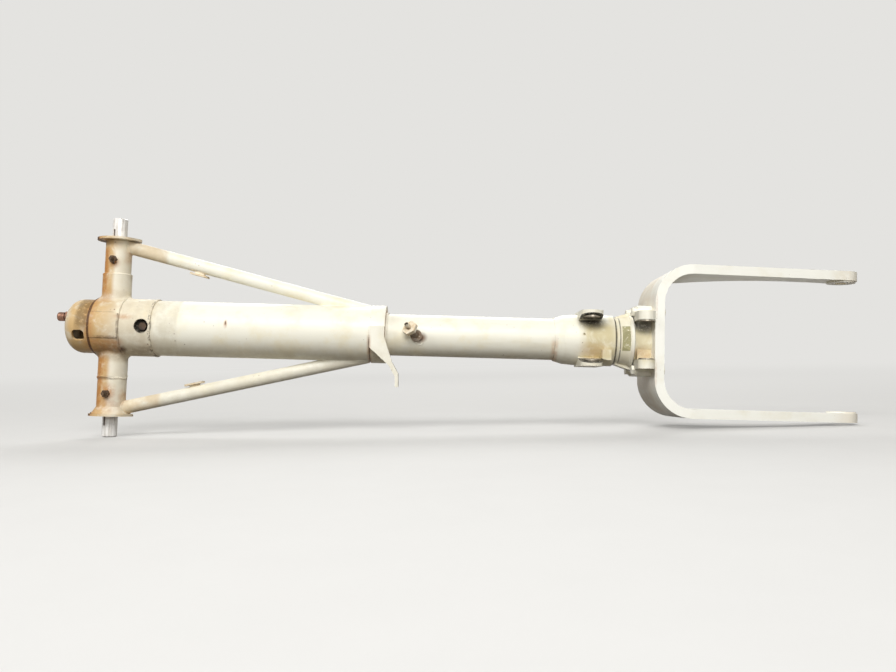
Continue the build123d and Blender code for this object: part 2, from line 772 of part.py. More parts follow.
# Torque collar: a tapered forging socketed on the cylinder, with the upper link lugs
torque_collar_radius = torque_collar_diameter / 2
neck_radius = torque_collar_neck_diameter / 2
with BuildPart() as torque_collar:
    with BuildSketch(Plane.XY):
        with BuildLine():
            Polyline(
                (collar_joint_x, 0),
                (collar_joint_x, neck_radius),
                (collar_joint_x + torque_collar_taper, torque_collar_radius - torque_collar_edge),
                (lug_x - lug_length / 2, torque_collar_radius),
                (torque_collar_end_x - torque_collar_edge, torque_collar_radius),
                (torque_collar_end_x, torque_collar_radius - torque_collar_edge),
                (torque_collar_end_x, 0),
                close=True,
            )
        make_face()
    revolve(axis=Axis.X)
    add(lug_pair(lug_x, lug_outer_width, lug_root_gap, lug_root_reach, lug_tip_gap, lug_length,
                 lug_reach, lug_end_radius))
    with BuildSketch(Plane.XY.offset(-lug_seat_gap / 2)):
        with Locations((lug_x, -lug_reach)):
            Circle(link_seat_radius + turning_gap)
    extrude(amount=lug_seat_gap, mode=Mode.SUBTRACT)
    with BuildSketch(lug_side):
        with Locations((stop_block_x, stop_block_z)):
            Rectangle(stop_block_length, stop_block_width)
    extrude(amount=torque_collar_radius + stop_block_height)
    with BuildSketch(lug_side.offset(torque_collar_radius - set_screw_hole_depth)):
        with Locations((set_screw_x, set_screw_z)):
            Circle(set_screw_hole_diameter / 2)
    extrude(amount=2 * set_screw_hole_depth, mode=Mode.SUBTRACT)
    add(solid_bar(collar_joint_x, torque_collar_end_x, cylinder_bore_radius), mode=Mode.SUBTRACT)
    add(solid_bar(collar_joint_x, cylinder_end_x, cylinder_radius), mode=Mode.SUBTRACT)
    add(solid_bar(gland_nut_x, torque_collar_end_x, gland_nut_diameter / 2), mode=Mode.SUBTRACT)
torque_collar.part.label = "torque_collar"
export_step(torque_collar.part, "parts/torque_collar.step")

link_bushes("upper_link_bushes", lug_x, lug_seat_gap, lug_outer_width, lug_reach)


# Gland: bearing, seal, wiper and the notched nut that holds them
gland_running_radius = piston_radius + running_clearance
gland_bearing_x = gland_nut_x - gland_bearing_length - 2 * gland_seal_length
gland_seal_x = gland_bearing_x + gland_bearing_length
wiper_x = gland_seal_x + gland_seal_length
sleeve("gland_bearing", gland_bearing_x, gland_seal_x, gland_running_radius, cylinder_bore_radius)
sleeve("gland_seal", gland_seal_x, wiper_x, gland_running_radius, cylinder_bore_radius)
sleeve("wiper_ring", wiper_x, gland_nut_x, gland_running_radius, cylinder_bore_radius)

with BuildPart() as gland_nut:
    with BuildSketch(Plane.YZ.offset(gland_nut_x)):
        Circle(gland_nut_diameter / 2)
        Circle(piston_radius + turning_gap, mode=Mode.SUBTRACT)
        with PolarLocations(gland_nut_diameter / 2, gland_notch_count, start_angle=gland_notch_turn):
            Rectangle(2 * gland_notch_depth, gland_notch_width, mode=Mode.SUBTRACT)
    extrude(amount=gland_nut_length)
gland_nut.part.label = "gland_nut"
export_step(gland_nut.part, "parts/gland_nut.step")


# Oil metering: head plug, orifice tube and plate on the cylinder, metering pin on the piston
orifice_tube_radius = orifice_tube_diameter / 2
orifice_bore_radius = orifice_tube_radius - orifice_tube_wall
head_plug_end_x = cylinder_top_x + head_plug_thickness
sleeve("cylinder_head", cylinder_top_x, head_plug_end_x, 0, cylinder_bore_radius)
sleeve("orifice_tube", head_plug_end_x, orifice_tube_end_x, orifice_bore_radius,
       orifice_tube_radius)
sleeve("orifice_plate", orifice_tube_end_x - orifice_plate_thickness, orifice_tube_end_x,
       orifice_hole_diameter / 2, orifice_bore_radius)

piston_plug_x = fitting_top_x
metering_pin_top_x = piston_plug_x - metering_pin_length
with BuildPart() as metering_pin:
    with BuildSketch(Plane.XY):
        with BuildLine():
            Polyline(
                (metering_pin_top_x, 0),
                (metering_pin_top_x, metering_pin_diameter / 4),
                (metering_pin_top_x + metering_pin_tip, metering_pin_diameter / 2),
                (piston_plug_x, metering_pin_diameter / 2),
                (piston_plug_x, 0),
                close=True,
            )
        make_face()
    revolve(axis=Axis.X)
metering_pin.part.label = "metering_pin"
export_step(metering_pin.part, "parts/metering_pin.step")


# Piston tube, the two rings that hold its upper bearing, and its bottom plug
lower_ring_x = gland_bearing_x - guide_spread_extended - stroke - bearing_ring_width
bearing_end_x = lower_ring_x - turning_gap
bearing_start_x = bearing_end_x - piston_bearing_length
upper_ring_end_x = bearing_start_x - turning_gap
piston_top_x = upper_ring_end_x - bearing_ring_width - piston_lip
sleeve("piston_tube", piston_top_x, fork_web_x, piston_bore_radius, piston_radius)
sleeve("piston_plug", piston_plug_x, piston_plug_x + piston_plug_length, 0, piston_bore_radius)
sleeve("piston_bearing", bearing_start_x, bearing_end_x, gland_running_radius,
       cylinder_bore_radius - running_clearance)

with BuildPart() as bearing_rings:
    for ring_x in (upper_ring_end_x - bearing_ring_width, lower_ring_x):
        with BuildSketch(Plane.YZ.offset(ring_x)):
            Circle(piston_radius + bearing_ring_wall)
            Circle(piston_radius, mode=Mode.SUBTRACT)
        extrude(amount=bearing_ring_width)
bearing_rings.part.label = "bearing_rings"
export_step(bearing_rings.part, "parts/bearing_rings.step")


# Fork fitting: shoulder, ring, barrel, bolting flange with a rib to each end, and the lower
# link lugs
fitting_lug_x = fork_web_x - fitting_lug_width / 2
fitting_barrel_radius = fitting_barrel_diameter / 2
fitting_ring_x = fitting_shoulder_x + fitting_ring_length
fitting_flange_x = fork_web_x - fitting_flange_thickness
fitting_lug_span = fitting_lug_gap + 2 * fitting_lug_thickness
bolt_spots = [
    (side_y * fork_bolt_spacing_y / 2, side_z * fork_bolt_spacing_z / 2)
    for side_y in (-1, 1)
    for side_z in (-1, 1)
]
with BuildPart() as fork_fitting:
    with BuildSketch(Plane.XY):
        with BuildLine():
            Polyline(
                (fitting_top_x, 0),
                (fitting_top_x, fitting_top_diameter / 2 - fitting_edge),
                (fitting_top_x + fitting_edge, fitting_top_diameter / 2),
                (fitting_shoulder_x, fitting_shoulder_diameter / 2),
                (fitting_shoulder_x, fitting_ring_diameter / 2),
                (fitting_ring_x, fitting_ring_diameter / 2),
                (fitting_ring_x, fitting_barrel_radius),
                (fork_web_x, fitting_barrel_radius),
                (fork_web_x, 0),
                close=True,
            )
        make_face()
    revolve(axis=Axis.X)
    with BuildSketch(Plane.YZ.offset(fitting_flange_x)):
        RectangleRounded(fork_bolt_spacing_y + 2 * fitting_flange_edge,
                         fork_bolt_spacing_z + 2 * fitting_flange_edge, fitting_flange_edge)
    extrude(amount=fitting_flange_thickness)
    with BuildSketch(Plane.XZ):
        with BuildLine():
            Polyline(
                (fitting_top_x + fitting_edge, 0),
                (fitting_top_x + fitting_edge, fitting_top_diameter / 2),
                (fitting_flange_x, fitting_rib_height),
                (fitting_flange_x, -fitting_rib_height),
                (fitting_top_x + fitting_edge, -fitting_top_diameter / 2),
                close=True,
            )
        make_face()
    extrude(amount=fitting_rib_width / 2, both=True)
    add(lug_pair(fitting_lug_x, fitting_lug_span, fitting_lug_gap, fitting_barrel_radius,
                 fitting_lug_gap, fitting_lug_width, fitting_lug_reach, fitting_lug_width / 2))
    pocket_floor = fitting_shoulder_diameter / 2 - fitting_pocket_depth
    pocket_x = fitting_shoulder_x - fitting_pocket_lip - fitting_pocket_length / 2
    with BuildSketch(lug_side.offset(pocket_floor)):
        with Locations((pocket_x, fitting_pocket_z)):
            Rectangle(fitting_pocket_length, fitting_pocket_height)
    extrude(amount=fitting_shoulder_diameter, mode=Mode.SUBTRACT)
    with BuildSketch(Plane.YZ.offset(fitting_flange_x)):
        with Locations(*bolt_spots):
            Circle(fork_bolt_radius)
    extrude(amount=fitting_flange_thickness, mode=Mode.SUBTRACT)
    with BuildSketch(Plane.YZ.offset(fitting_ring_x)):
        with Locations(*bolt_spots):
            Circle(fork_washer_diameter / 2)
    extrude(amount=fitting_flange_x - fitting_ring_x, mode=Mode.SUBTRACT)
    add(solid_bar(fitting_top_x, fork_web_x, piston_radius), mode=Mode.SUBTRACT)
fork_fitting.part.label = "fork_fitting"
export_step(fork_fitting.part, "parts/fork_fitting.step")

link_bushes("lower_link_bushes", fitting_lug_x, fitting_lug_gap, fitting_lug_span,
            fitting_lug_reach)


# Fork: one flat bar bent to a U and bolted across the fitting. The arms taper: their near edge
# runs straight to the axle boss and their far edge is cut away in a long curve.
fork_half_width = fork_outer_width / 2
axle_x = fork_web_x + fork_length - fork_tip_radius
corner_x = fork_web_x + fork_corner_radius
with BuildPart() as fork:
    with BuildSketch(Plane.XZ.offset(-fork_far_edge)):
        with Locations((fork_web_x + fork_length, 0)):
            RectangleRounded(2 * fork_length, fork_outer_width, fork_corner_radius)
            RectangleRounded(2 * (fork_length - fork_bar), fork_outer_width - 2 * fork_bar,
                             fork_corner_radius - fork_bar, mode=Mode.SUBTRACT)
    extrude(amount=fork_far_edge + fork_near_edge)
    with BuildSketch(Plane.XY.offset(-fork_half_width)) as arm_outline:
        with BuildLine():
            Polyline(
                (axle_x, fork_axle_y - fork_tip_radius),
                (corner_x, -fork_near_edge),
                (fork_web_x, -fork_near_edge),
                (fork_web_x, fork_far_edge),
                (corner_x, fork_far_edge),
            )
            Bezier(
                (corner_x, fork_far_edge),
                (corner_x + arm_curve_start * fork_length, 0),
                (axle_x - arm_curve_end * fork_length, fork_axle_y),
                (axle_x, fork_axle_y + fork_tip_radius),
            )
            ThreePointArc(
                (axle_x, fork_axle_y + fork_tip_radius),
                (axle_x + fork_tip_radius, fork_axle_y),
                (axle_x, fork_axle_y - fork_tip_radius),
            )
        make_face()
        fillet(arm_outline.vertices().group_by(Axis.Y)[-1].sort_by(Axis.X)[-1],
               radius=fork_corner_radius / 2)
    extrude(amount=fork_outer_width, mode=Mode.INTERSECT)
    with BuildSketch(Plane.XY.offset(-fork_half_width)):
        with Locations((axle_x, fork_axle_y)):
            Circle(axle_bolt_diameter / 2)
    extrude(amount=fork_outer_width, mode=Mode.SUBTRACT)
    with BuildSketch(Plane.YZ.offset(fork_web_x)):
        with Locations(*bolt_spots):
            Circle(fork_bolt_radius)
    extrude(amount=fork_bar, mode=Mode.SUBTRACT)
fork.part.label = "fork"
export_step(fork.part, "parts/fork.step")


# Axle bosses: a bored pad on the inner face of each arm
with BuildPart() as axle_bosses:
    for side in (1, -1):
        with BuildSketch(Plane.XY.offset(side * (fork_half_width - fork_bar))):
            with Locations((axle_x, fork_axle_y)):
                Circle(axle_boss_diameter / 2)
                Circle(axle_bolt_diameter / 2, mode=Mode.SUBTRACT)
        extrude(amount=-side * axle_boss_thickness)
axle_bosses.part.label = "axle_bosses"
export_step(axle_bosses.part, "parts/axle_bosses.step")


# Fork bolts with their washers and nuts
nut_seat_x = fork_web_x + fork_bar + fork_washer_thickness
bolt_end_x = nut_seat_x + bolt_head_height + fork_bolt_end
with BuildPart() as fork_bolts:
    with BuildSketch(Plane.YZ.offset(fitting_flange_x - fork_washer_thickness - bolt_head_height)):
        with Locations(*bolt_spots):
            RegularPolygon(bolt_head_across_flats / 2, 6, major_radius=False)
    extrude(amount=bolt_head_height)
    with BuildSketch(Plane.YZ.offset(fitting_flange_x - fork_washer_thickness)):
        with Locations(*bolt_spots):
            Circle(fork_bolt_radius)
    extrude(amount=bolt_end_x - fitting_flange_x + fork_washer_thickness)
fork_bolts.part.label = "fork_bolts"
export_step(fork_bolts.part, "parts/fork_bolts.step")

with BuildPart() as fork_washers:
    for washer_x in (fitting_flange_x - fork_washer_thickness, fork_web_x + fork_bar):
        with BuildSketch(Plane.YZ.offset(washer_x)):
            with Locations(*bolt_spots):
                Circle(fork_washer_diameter / 2)
                Circle(fork_bolt_radius, mode=Mode.SUBTRACT)
        extrude(amount=fork_washer_thickness)
fork_washers.part.label = "fork_washers"
export_step(fork_washers.part, "parts/fork_washers.step")

with BuildPart() as fork_nuts:
    with BuildSketch(Plane.YZ.offset(nut_seat_x)):
        with Locations(*bolt_spots):
            RegularPolygon(bolt_head_across_flats / 2, 6, major_radius=False)
            Circle(fork_bolt_radius, mode=Mode.SUBTRACT)
    extrude(amount=bolt_head_height)
fork_nuts.part.label = "fork_nuts"
export_step(fork_nuts.part, "parts/fork_nuts.step")
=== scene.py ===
import math

import bmesh
import bpy
from mathutils import Matrix, Vector, noise


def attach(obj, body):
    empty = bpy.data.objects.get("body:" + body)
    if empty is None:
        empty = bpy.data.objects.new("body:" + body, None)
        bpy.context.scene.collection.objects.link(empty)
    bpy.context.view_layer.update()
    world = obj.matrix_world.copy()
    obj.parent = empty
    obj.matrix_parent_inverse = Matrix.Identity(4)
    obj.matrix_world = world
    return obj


# The strut's looks: paint, bare metal, weld beads and old grease, with camera, floor and lamps.
# X runs down the strut from the top cap to the fork, Z along the trunnion axis, and the camera
# looks along Y.
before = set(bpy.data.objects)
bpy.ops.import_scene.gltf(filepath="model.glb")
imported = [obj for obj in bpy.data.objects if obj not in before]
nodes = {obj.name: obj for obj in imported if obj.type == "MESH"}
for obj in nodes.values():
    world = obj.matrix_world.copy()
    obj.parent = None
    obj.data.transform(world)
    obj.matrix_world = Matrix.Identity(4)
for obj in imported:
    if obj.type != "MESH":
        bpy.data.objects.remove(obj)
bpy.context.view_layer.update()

MM = 0.001
X_AXIS = Vector((1, 0, 0))
Y_AXIS = Vector((0, 1, 0))
Z_AXIS = Vector((0, 0, 1))

# Housing, its sleeve and collar, in millimetres like every measure of the part
HOUSING_RADIUS = 38.5
LOWER_COLLAR_X = 360.0
LOWER_COLLAR_RADIUS = 40.3
SLEEVE_END_X = 60.4
SIGHT_HOLE_X = 50.0
THRUST_SEAM_X = -22.2

# Trunnion tubes and pins
TRUNNION_WELD_Z = 121.0
TRUNNION_ROOT_RADIUS = 19.5
UPPER_TUBE_RADIUS = 17.6
LOWER_TUBE_RADIUS = 19.2
LOWER_FLARE_RADIUS = 25.7
UPPER_STEP_Z = 73.0
LOWER_STEP_Z = -70.0
GREASE_FITTING_Z = 93.0
PIN_SLOT_X = -4.5

# Brace tubes
BRACE_RADIUS = 9.25
BRACE_HEAD_Z = 116.4
BRACE_FOOT_X = 353.0
BRACE_FOOT_Z = 32.0
BRACE_END_X = 357.5

# Cylinder with its side valve
CYLINDER_RADIUS = 29.0
SIDE_VALVE_FOOT = Vector((423.0, -29.0, -2.0))
SIDE_VALVE_AXIS = Vector((-0.47, -0.73, 0.50))
SIDE_VALVE_LENGTH = 28.0
SIDE_VALVE_BOSS_RADIUS = 8.0

# Torque collar
COLLAR_JOINT_X = 614.0
COLLAR_NECK_RADIUS = 30.5
COLLAR_END_X = 696.0
LUG_X = 660.0
LUG_ROOT_GAP = 50.0
LUG_ROOT_REACH = 25.0
LUG_TIP_GAP = 66.0
LUG_TIP_REACH = 62.0

# Fork fitting and fork
TOP_GROOVE_X = 702.0
POCKET_X = 710.0
RING_GROOVE_X = 721.0
WEB_X = 745.3

# Marks in the paint that the photograph shows
CHIP_X = 164.0
VALVE_STAIN = (427, -29, -5)


def srgb(red, green, blue):
    """A colour given as screen values 0-255, in the linear values that nodes use."""
    linear = []
    for value in (red, green, blue):
        v = value / 255
        linear.append(v / 12.92 if v <= 0.04045 else ((v + 0.055) / 1.055) ** 2.4)
    return (*linear, 1.0)


CREAM = srgb(244, 241, 226)
WARM_CREAM = srgb(238, 229, 200)
GREY_CREAM = srgb(214, 206, 184)
TAN = srgb(200, 162, 100)
ORANGE = srgb(182, 120, 54)
RUST = srgb(112, 64, 32)
# The brown and the black below serve for dirt and grease, and also for painted shade and shadows
BROWN_DIRT_AND_SHADE = srgb(74, 46, 28)
BLACK_GREASE_AND_SHADE = srgb(30, 24, 18)
OLIVE = srgb(124, 98, 58)
STRAW = srgb(200, 182, 122)
PUTTY = srgb(148, 142, 92)
WHITE = srgb(251, 250, 240)
OFF_WHITE = srgb(243, 239, 222)
STEEL_STREAK = srgb(142, 132, 116)
STEEL_MARK = srgb(168, 156, 138)
RUBBER_BLACK = srgb(24, 23, 22)
RUBBER_DUST = srgb(88, 82, 72)
GREASE_WET = srgb(46, 30, 18)
GREASE_DUST = srgb(150, 102, 58)
FLOOR_PALE = srgb(222, 221, 218)
FLOOR_GREYER = srgb(216, 215, 212)
FLOOR_BOUNCE = srgb(70, 62, 48)
BACKDROP = srgb(228, 227, 224)
SKY = srgb(255, 250, 238)

# A Mix node calls its sockets for colours and for numbers alike, so they are told by their place
MIX_FACTOR = 0
MIX_SOCKETS = {"FLOAT": (2, 3), "RGBA": (6, 7)}
MIX_RESULT = {"FLOAT": 0, "RGBA": 2}

# Share of a speck's radius that is full, inside its soft rim
SPECK_CORE = 0.6

# Rays on which the floor and the world show their pale colours. On all others they are darker
SEEN_RAYS = ("Is Camera Ray", "Is Glossy Ray", "Is Transmission Ray")


class NodeTree:
    """The nodes of a material or of the world, with short calls for those in use."""

    def __init__(self, owner, output_kind):
        owner.use_nodes = True
        self.tree = owner.node_tree
        self.tree.nodes.clear()
        self.output = self.add(output_kind)

    def add(self, kind, **settings):
        """A new node with these settings."""
        node = self.tree.nodes.new(kind)
        for key, value in settings.items():
            setattr(node, key, value)
        return node

    def feed(self, socket, value):
        """Link a socket to another one, or set it to a plain value."""
        if isinstance(value, bpy.types.NodeSocket):
            self.tree.links.new(value, socket)
        else:
            socket.default_value = value

    def calc(self, operation, *values):
        """The result of one sum."""
        node = self.add("ShaderNodeMath", operation=operation)
        for socket, value in zip(node.inputs, values):
            self.feed(socket, value)
        return node.outputs[0]

    def times(self, *values):
        """The product of all values."""
        result = values[0]
        for value in values[1:]:
            result = self.calc("MULTIPLY", result, value)
        return result

    def most(self, *values):
        """The largest of all values."""
        result = values[0]
        for value in values[1:]:
            result = self.calc("MAXIMUM", result, value)
        return result

    def mix(self, kind, factor, first, second):
        """From the first value to the second, for a factor from 0 to 1."""
        node = self.add("ShaderNodeMix", data_type=kind, clamp_factor=True)
        for place, value in zip((MIX_FACTOR, *MIX_SOCKETS[kind]), (factor, first, second)):
            self.feed(node.inputs[place], value)
        return node.outputs[MIX_RESULT[kind]]

    def blend(self, factor, first, second):
        """From the first colour to the second."""
        return self.mix("RGBA", factor, first, second)

    def level(self, factor, first, second):
        """From the first number to the second."""
        return self.mix("FLOAT", factor, first, second)

    def seen(self):
        """1 on rays that reach the eye, also by way of metal or glass."""
        rays = self.add("ShaderNodeLightPath")
        return self.most(*[rays.outputs[kind] for kind in SEEN_RAYS])

    def glow(self, kind, colour, strength=1.0):
        """An emission or a background of one colour."""
        node = self.add(kind)
        node.inputs["Color"].default_value = colour
        node.inputs["Strength"].default_value = strength
        return node.outputs[0]

    def show_either(self, factor, first, second):
        """Show the first shader where the factor is 0 and the second where it is 1."""
        node = self.add("ShaderNodeMixShader")
        for socket, value in zip(node.inputs, (factor, first, second)):
            self.feed(socket, value)
        self.feed(self.output.inputs[0], node.outputs[0])


# Materials
class Shade(NodeTree):
    """One material, with masks that lie where they are put on the part."""

    def __init__(self, name):
        self.material = bpy.data.materials.new(name)
        super().__init__(self.material, "ShaderNodeOutputMaterial")
        self.shader = self.add("ShaderNodeBsdfPrincipled")
        self.feed(self.output.inputs[0], self.shader.outputs[0])
        self.place = self.add("ShaderNodeTexCoord").outputs["Object"]
        split = self.add("ShaderNodeSeparateXYZ")
        self.feed(split.inputs[0], self.place)
        self.x, self.y, self.z = split.outputs

    def off_axis(self):
        """How far a point lies above or below the strut's axis."""
        return self.calc("ABSOLUTE", self.z)

    def mapped(self, scale, kind="POINT", location=(0, 0, 0)):
        """The place on the part, scaled and moved."""
        node = self.add("ShaderNodeMapping", vector_type=kind)
        self.feed(node.inputs["Vector"], self.place)
        node.inputs["Location"].default_value = location
        node.inputs["Scale"].default_value = scale
        return node.outputs[0]

    def length(self, vector):
        """The length of a vector."""
        node = self.add("ShaderNodeVectorMath", operation="LENGTH")
        self.feed(node.inputs[0], vector)
        return node.outputs["Value"]

    def ramp(self, value, none, full):
        """0 where the value is none, 1 where it is full, with a soft step between the two."""
        node = self.add("ShaderNodeMapRange", interpolation_type="SMOOTHSTEP")
        self.feed(node.inputs["Value"], value)
        if none < full:
            bounds = (none, full, 0.0, 1.0)
        else:
            bounds = (full, none, 1.0, 0.0)
        for name, bound in zip(("From Min", "From Max", "To Min", "To Max"), bounds):
            node.inputs[name].default_value = bound
        return node.outputs["Result"]

    def fade(self, axis, none, full):
        """A ramp between two places along an axis, in mm."""
        return self.ramp(axis, none * MM, full * MM)

    def between(self, axis, low, high, soft):
        """1 where the axis value in mm is between low and high, with soft mm of fading."""
        return self.times(
            self.fade(axis, low - soft, low + soft), self.fade(axis, high + soft, high - soft)
        )

    def spot(self, point, radius, soft, squash=(1, 1, 1)):
        """1 inside radius mm of a point, with soft mm of fading, stretched along the axes."""
        away = self.length(self.mapped(squash, "TEXTURE", [v * MM for v in point]))
        return self.fade(away, radius + soft, max(radius - soft, 0))

    def grain(self, size, detail=4.0, rough=0.55, stretch=(1, 1, 1), warp=0.0):
        """Noise from 0 to 1 whose lumps are about size mm across."""
        node = self.add("ShaderNodeTexNoise")
        self.feed(node.inputs["Vector"], self.mapped([1 / (size * MM * s) for s in stretch]))
        node.inputs["Scale"].default_value = 1.0
        node.inputs["Detail"].default_value = detail
        node.inputs["Roughness"].default_value = rough
        node.inputs["Distortion"].default_value = warp
        return node.outputs[0]

    def broken(self, mask, size, none, full, **grain):
        """The mask where a grain of this size is strong, and nothing where it is weak."""
        return self.times(mask, self.ramp(self.grain(size, **grain), none, full))

    def specks(self, spacing, size):
        """Dots scattered about spacing mm apart, whose radius is size times that."""
        node = self.add("ShaderNodeTexVoronoi", feature="F1")
        self.feed(node.inputs["Vector"], self.mapped([1 / (spacing * MM)] * 3))
        node.inputs["Scale"].default_value = 1.0
        node.inputs["Randomness"].default_value = 1.0
        return self.ramp(node.outputs["Distance"], size, size * SPECK_CORE)

    def stain(self, colour, mask, strength, stain_colour):
        """The colour with a stain over it, as strong as asked where the mask is 1."""
        return self.blend(self.times(mask, strength), colour, stain_colour)

    def bumps(self, *layers):
        """Bump layers of (height, depth in mm), the last one lying over the others."""
        normal = None
        for height, depth in layers:
            node = self.add("ShaderNodeBump")
            node.inputs["Strength"].default_value = 1.0
            node.inputs["Distance"].default_value = depth * MM
            self.feed(node.inputs["Height"], height)
            if normal is not None:
                self.feed(node.inputs["Normal"], normal)
            normal = node.outputs[0]
        self.feed(self.shader.inputs["Normal"], normal)

    def finish(self, colour, roughness, metallic=0.0, specular=0.5):
        """Feed the shader, and give the finished material."""
        self.feed(self.shader.inputs["Base Color"], colour)
        self.feed(self.shader.inputs["Roughness"], roughness)
        self.feed(self.shader.inputs["Metallic"], metallic)
        self.shader.inputs["Specular IOR Level"].default_value = specular
        return self.material


# How each kind of stain and of painted shade breaks up: the lumps of its grain in mm, the grain at
# which it begins and is full, and how fine, rough and warped that grain is
DIRT_AND_SHADE_EDGE = {"size": 16, "none": 0.20, "full": 0.66, "detail": 7, "rough": 0.65}
TAN_EDGE = {"size": 15, "none": 0.16, "full": 0.54, "detail": 7, "rough": 0.6, "warp": 0.5}
ORANGE_EDGE = {"size": 9, "none": 0.24, "full": 0.58, "detail": 8, "rough": 0.66, "warp": 0.6}
RUST_CORE = {"size": 2.4, "none": 0.56, "full": 0.70, "detail": 6, "rough": 0.7}
SEAM_AND_SHADOW_EDGE = {"size": 3.0, "none": 0.18, "full": 0.42, "detail": 5, "rough": 0.6}
SPECK_PATCHES = {"size": 24, "none": 0.54, "full": 0.68, "detail": 3}
GREASE_AND_SHADE_EDGE = {"size": 3.2, "none": 0.20, "full": 0.50, "detail": 6, "rough": 0.6}
SPECK_SPACING = 7.0

# Roughness of the clean paint, from its shiny patches to its dull ones, and of stained paint
PAINT_SHINY = 0.30
PAINT_DULL = 0.44
PAINT_STAINED = 0.60


def old_paint(name, dirt, tan, orange=None, grease_and_shade=None, tint=None, seam=None,
              base=(CREAM, WARM_CREAM), tan_colour=TAN, speck=0.14):
    """Cream gloss paint gone patchy, with dirt, tan film, orange rust, grease, and painted shade and
    shadows where asked.
    """
    s = Shade(name)
    fine = s.grain(5, detail=6, rough=0.65)
    colour = s.blend(s.ramp(s.grain(38, detail=5, rough=0.6), 0.46, 0.78), *base)
    # A grey film of dirt, which for the body's finishes is also painted shade underneath
    film = s.broken(dirt(s), **DIRT_AND_SHADE_EDGE)
    colour = s.stain(colour, film, 0.8, GREY_CREAM)
    mask = s.broken(tan(s), **TAN_EDGE)
    colour = s.stain(colour, mask, 0.85, tan_colour)
    film = s.most(film, mask)
    if orange:
        mask = s.broken(orange(s), **ORANGE_EDGE)
        colour = s.stain(colour, mask, 0.85, ORANGE)
        core = s.broken(mask, **RUST_CORE)
        colour = s.stain(colour, core, 0.6, RUST)
        film = s.most(film, mask)
    if tint:
        mask, tint_colour = tint(s)
        colour = s.blend(mask, colour, tint_colour)
    # Brown marks in seams, and a painted shadow beside the side valve's tip
    if seam:
        mask = s.broken(seam(s), **SEAM_AND_SHADOW_EDGE)
        colour = s.stain(colour, mask, 0.9, BROWN_DIRT_AND_SHADE)
        film = s.most(film, mask)
    dots = s.broken(s.specks(SPECK_SPACING, speck), **SPECK_PATCHES)
    colour = s.stain(colour, dots, 0.65, RUST)
    # Black grease, and painted shadows and shade under lugs and in holes
    if grease_and_shade:
        mask = s.broken(grease_and_shade(s), **GREASE_AND_SHADE_EDGE)
        colour = s.stain(colour, mask, 0.93, BLACK_GREASE_AND_SHADE)
        film = s.most(film, mask)
    clean = s.level(s.ramp(fine, 0.3, 0.8), PAINT_SHINY, PAINT_DULL)
    s.bumps(
        (s.grain(2.6, detail=3, rough=0.5), 0.05),
        (fine, 0.06),
        (dots, 0.08),
        (s.times(film, s.grain(1.8, detail=4, rough=0.65)), 0.07),
    )
    return s.finish(colour, s.level(film, clean, PAINT_STAINED), specular=0.3)


def head_greyer_paint(s):
    """Greyer, duller paint near the trunnion: as far as 98 mm down the housing, less on the braces."""
    off_axis = s.off_axis()
    housing = s.times(s.fade(s.x, 101, 95), s.fade(off_axis, 55, 45))
    braces = s.times(s.between(s.x, 17, 72, 4), s.fade(off_axis, 60, 70))
    tubes = s.times(s.fade(s.x, 24, 18), 0.25)
    return s.most(housing, braces, tubes)


def head_tan(s):
    """Tan film: on the cap and saddle and down the left of the tubes, thin elsewhere."""
    off_axis = s.off_axis()
    cap_end = s.level(s.fade(s.x, -46, -60), 1.0, 0.5)
    saddle = s.times(s.fade(s.x, 34, -14), s.fade(off_axis, 46, 30), cap_end)
    sleeve = s.times(s.between(s.x, -90, 66, 8), 0.20)
    tube_side = s.times(s.fade(s.x, 6, -3), s.fade(off_axis, 34, 48))
    ends = s.times(s.between(off_axis, 106, 130, 7), s.fade(s.x, 22, -4), 0.8)
    braces = s.times(s.between(s.x, 14, 70, 6), s.fade(off_axis, 88, 94), 0.45)
    return s.most(saddle, sleeve, tube_side, ends, braces)


def head_orange(s):
    """Rust stains, strongest along the cap seam, at the tube roots and round the grease fittings."""
    off_axis = s.off_axis()
    seam = s.times(s.between(s.x, -29, -15, 6), s.fade(s.y, 0, -20), 0.7)
    upper_root = s.times(s.spot((-14, -18, 45), 13, 12, (1.0, 1.0, 0.9)), 0.7)
    lower_root = s.spot((-14, -16, -52), 15, 12, (0.8, 1.0, 1.4))
    lower_pad = s.times(s.spot((-14, -34, -24), 11, 9, (1.5, 1.0, 0.5)), 0.8)
    under_pad = s.times(
        s.between(s.x, -19, 22, 6), s.between(s.z, -37, -18, 5), s.fade(s.y, 0, -15), 0.75
    )
    left_side = s.times(s.fade(s.x, -2, -11), s.between(off_axis, 44, 112, 10))
    upper_fitting = s.spot((0, -18, GREASE_FITTING_Z - 4), 6, 6)
    lower_fitting = s.spot((0, -20, -GREASE_FITTING_Z + 2), 8, 7, (1.2, 1.0, 1.2))
    lower_flare = s.times(s.spot((2, -22, -108), 12, 10, (1.6, 1.0, 0.8)), 0.5)
    brace_heads = s.times(s.between(s.x, 16, 44, 8), s.between(off_axis, 88, 108, 5), 0.6)
    smear = s.times(s.spot((24, -38, 12), 5, 4, (2.0, 1.0, 0.7)), 0.6)
    return s.most(
        seam, upper_root, lower_root, lower_pad, under_pad, left_side, upper_fitting, lower_fitting,
        lower_flare, brace_heads, smear,
    )


def head_grease_and_shade(s):
    """Black grease round the grease fittings, and painted shade on the rim of the sight hole."""
    upper_fitting = s.times(s.spot((0, -19, GREASE_FITTING_Z - 4), 3, 2), 0.9)
    lower_fitting = s.times(s.spot((0, -21, -GREASE_FITTING_Z - 3), 3.5, 2), 0.9)
    # Painted shade on the sight hole's rim, darkening the opening
    hole_rim = s.times(s.spot((SIGHT_HOLE_X, -38, 0), 9.6, 1.6), 0.7)
    return s.most(upper_fitting, lower_fitting, hole_rim)


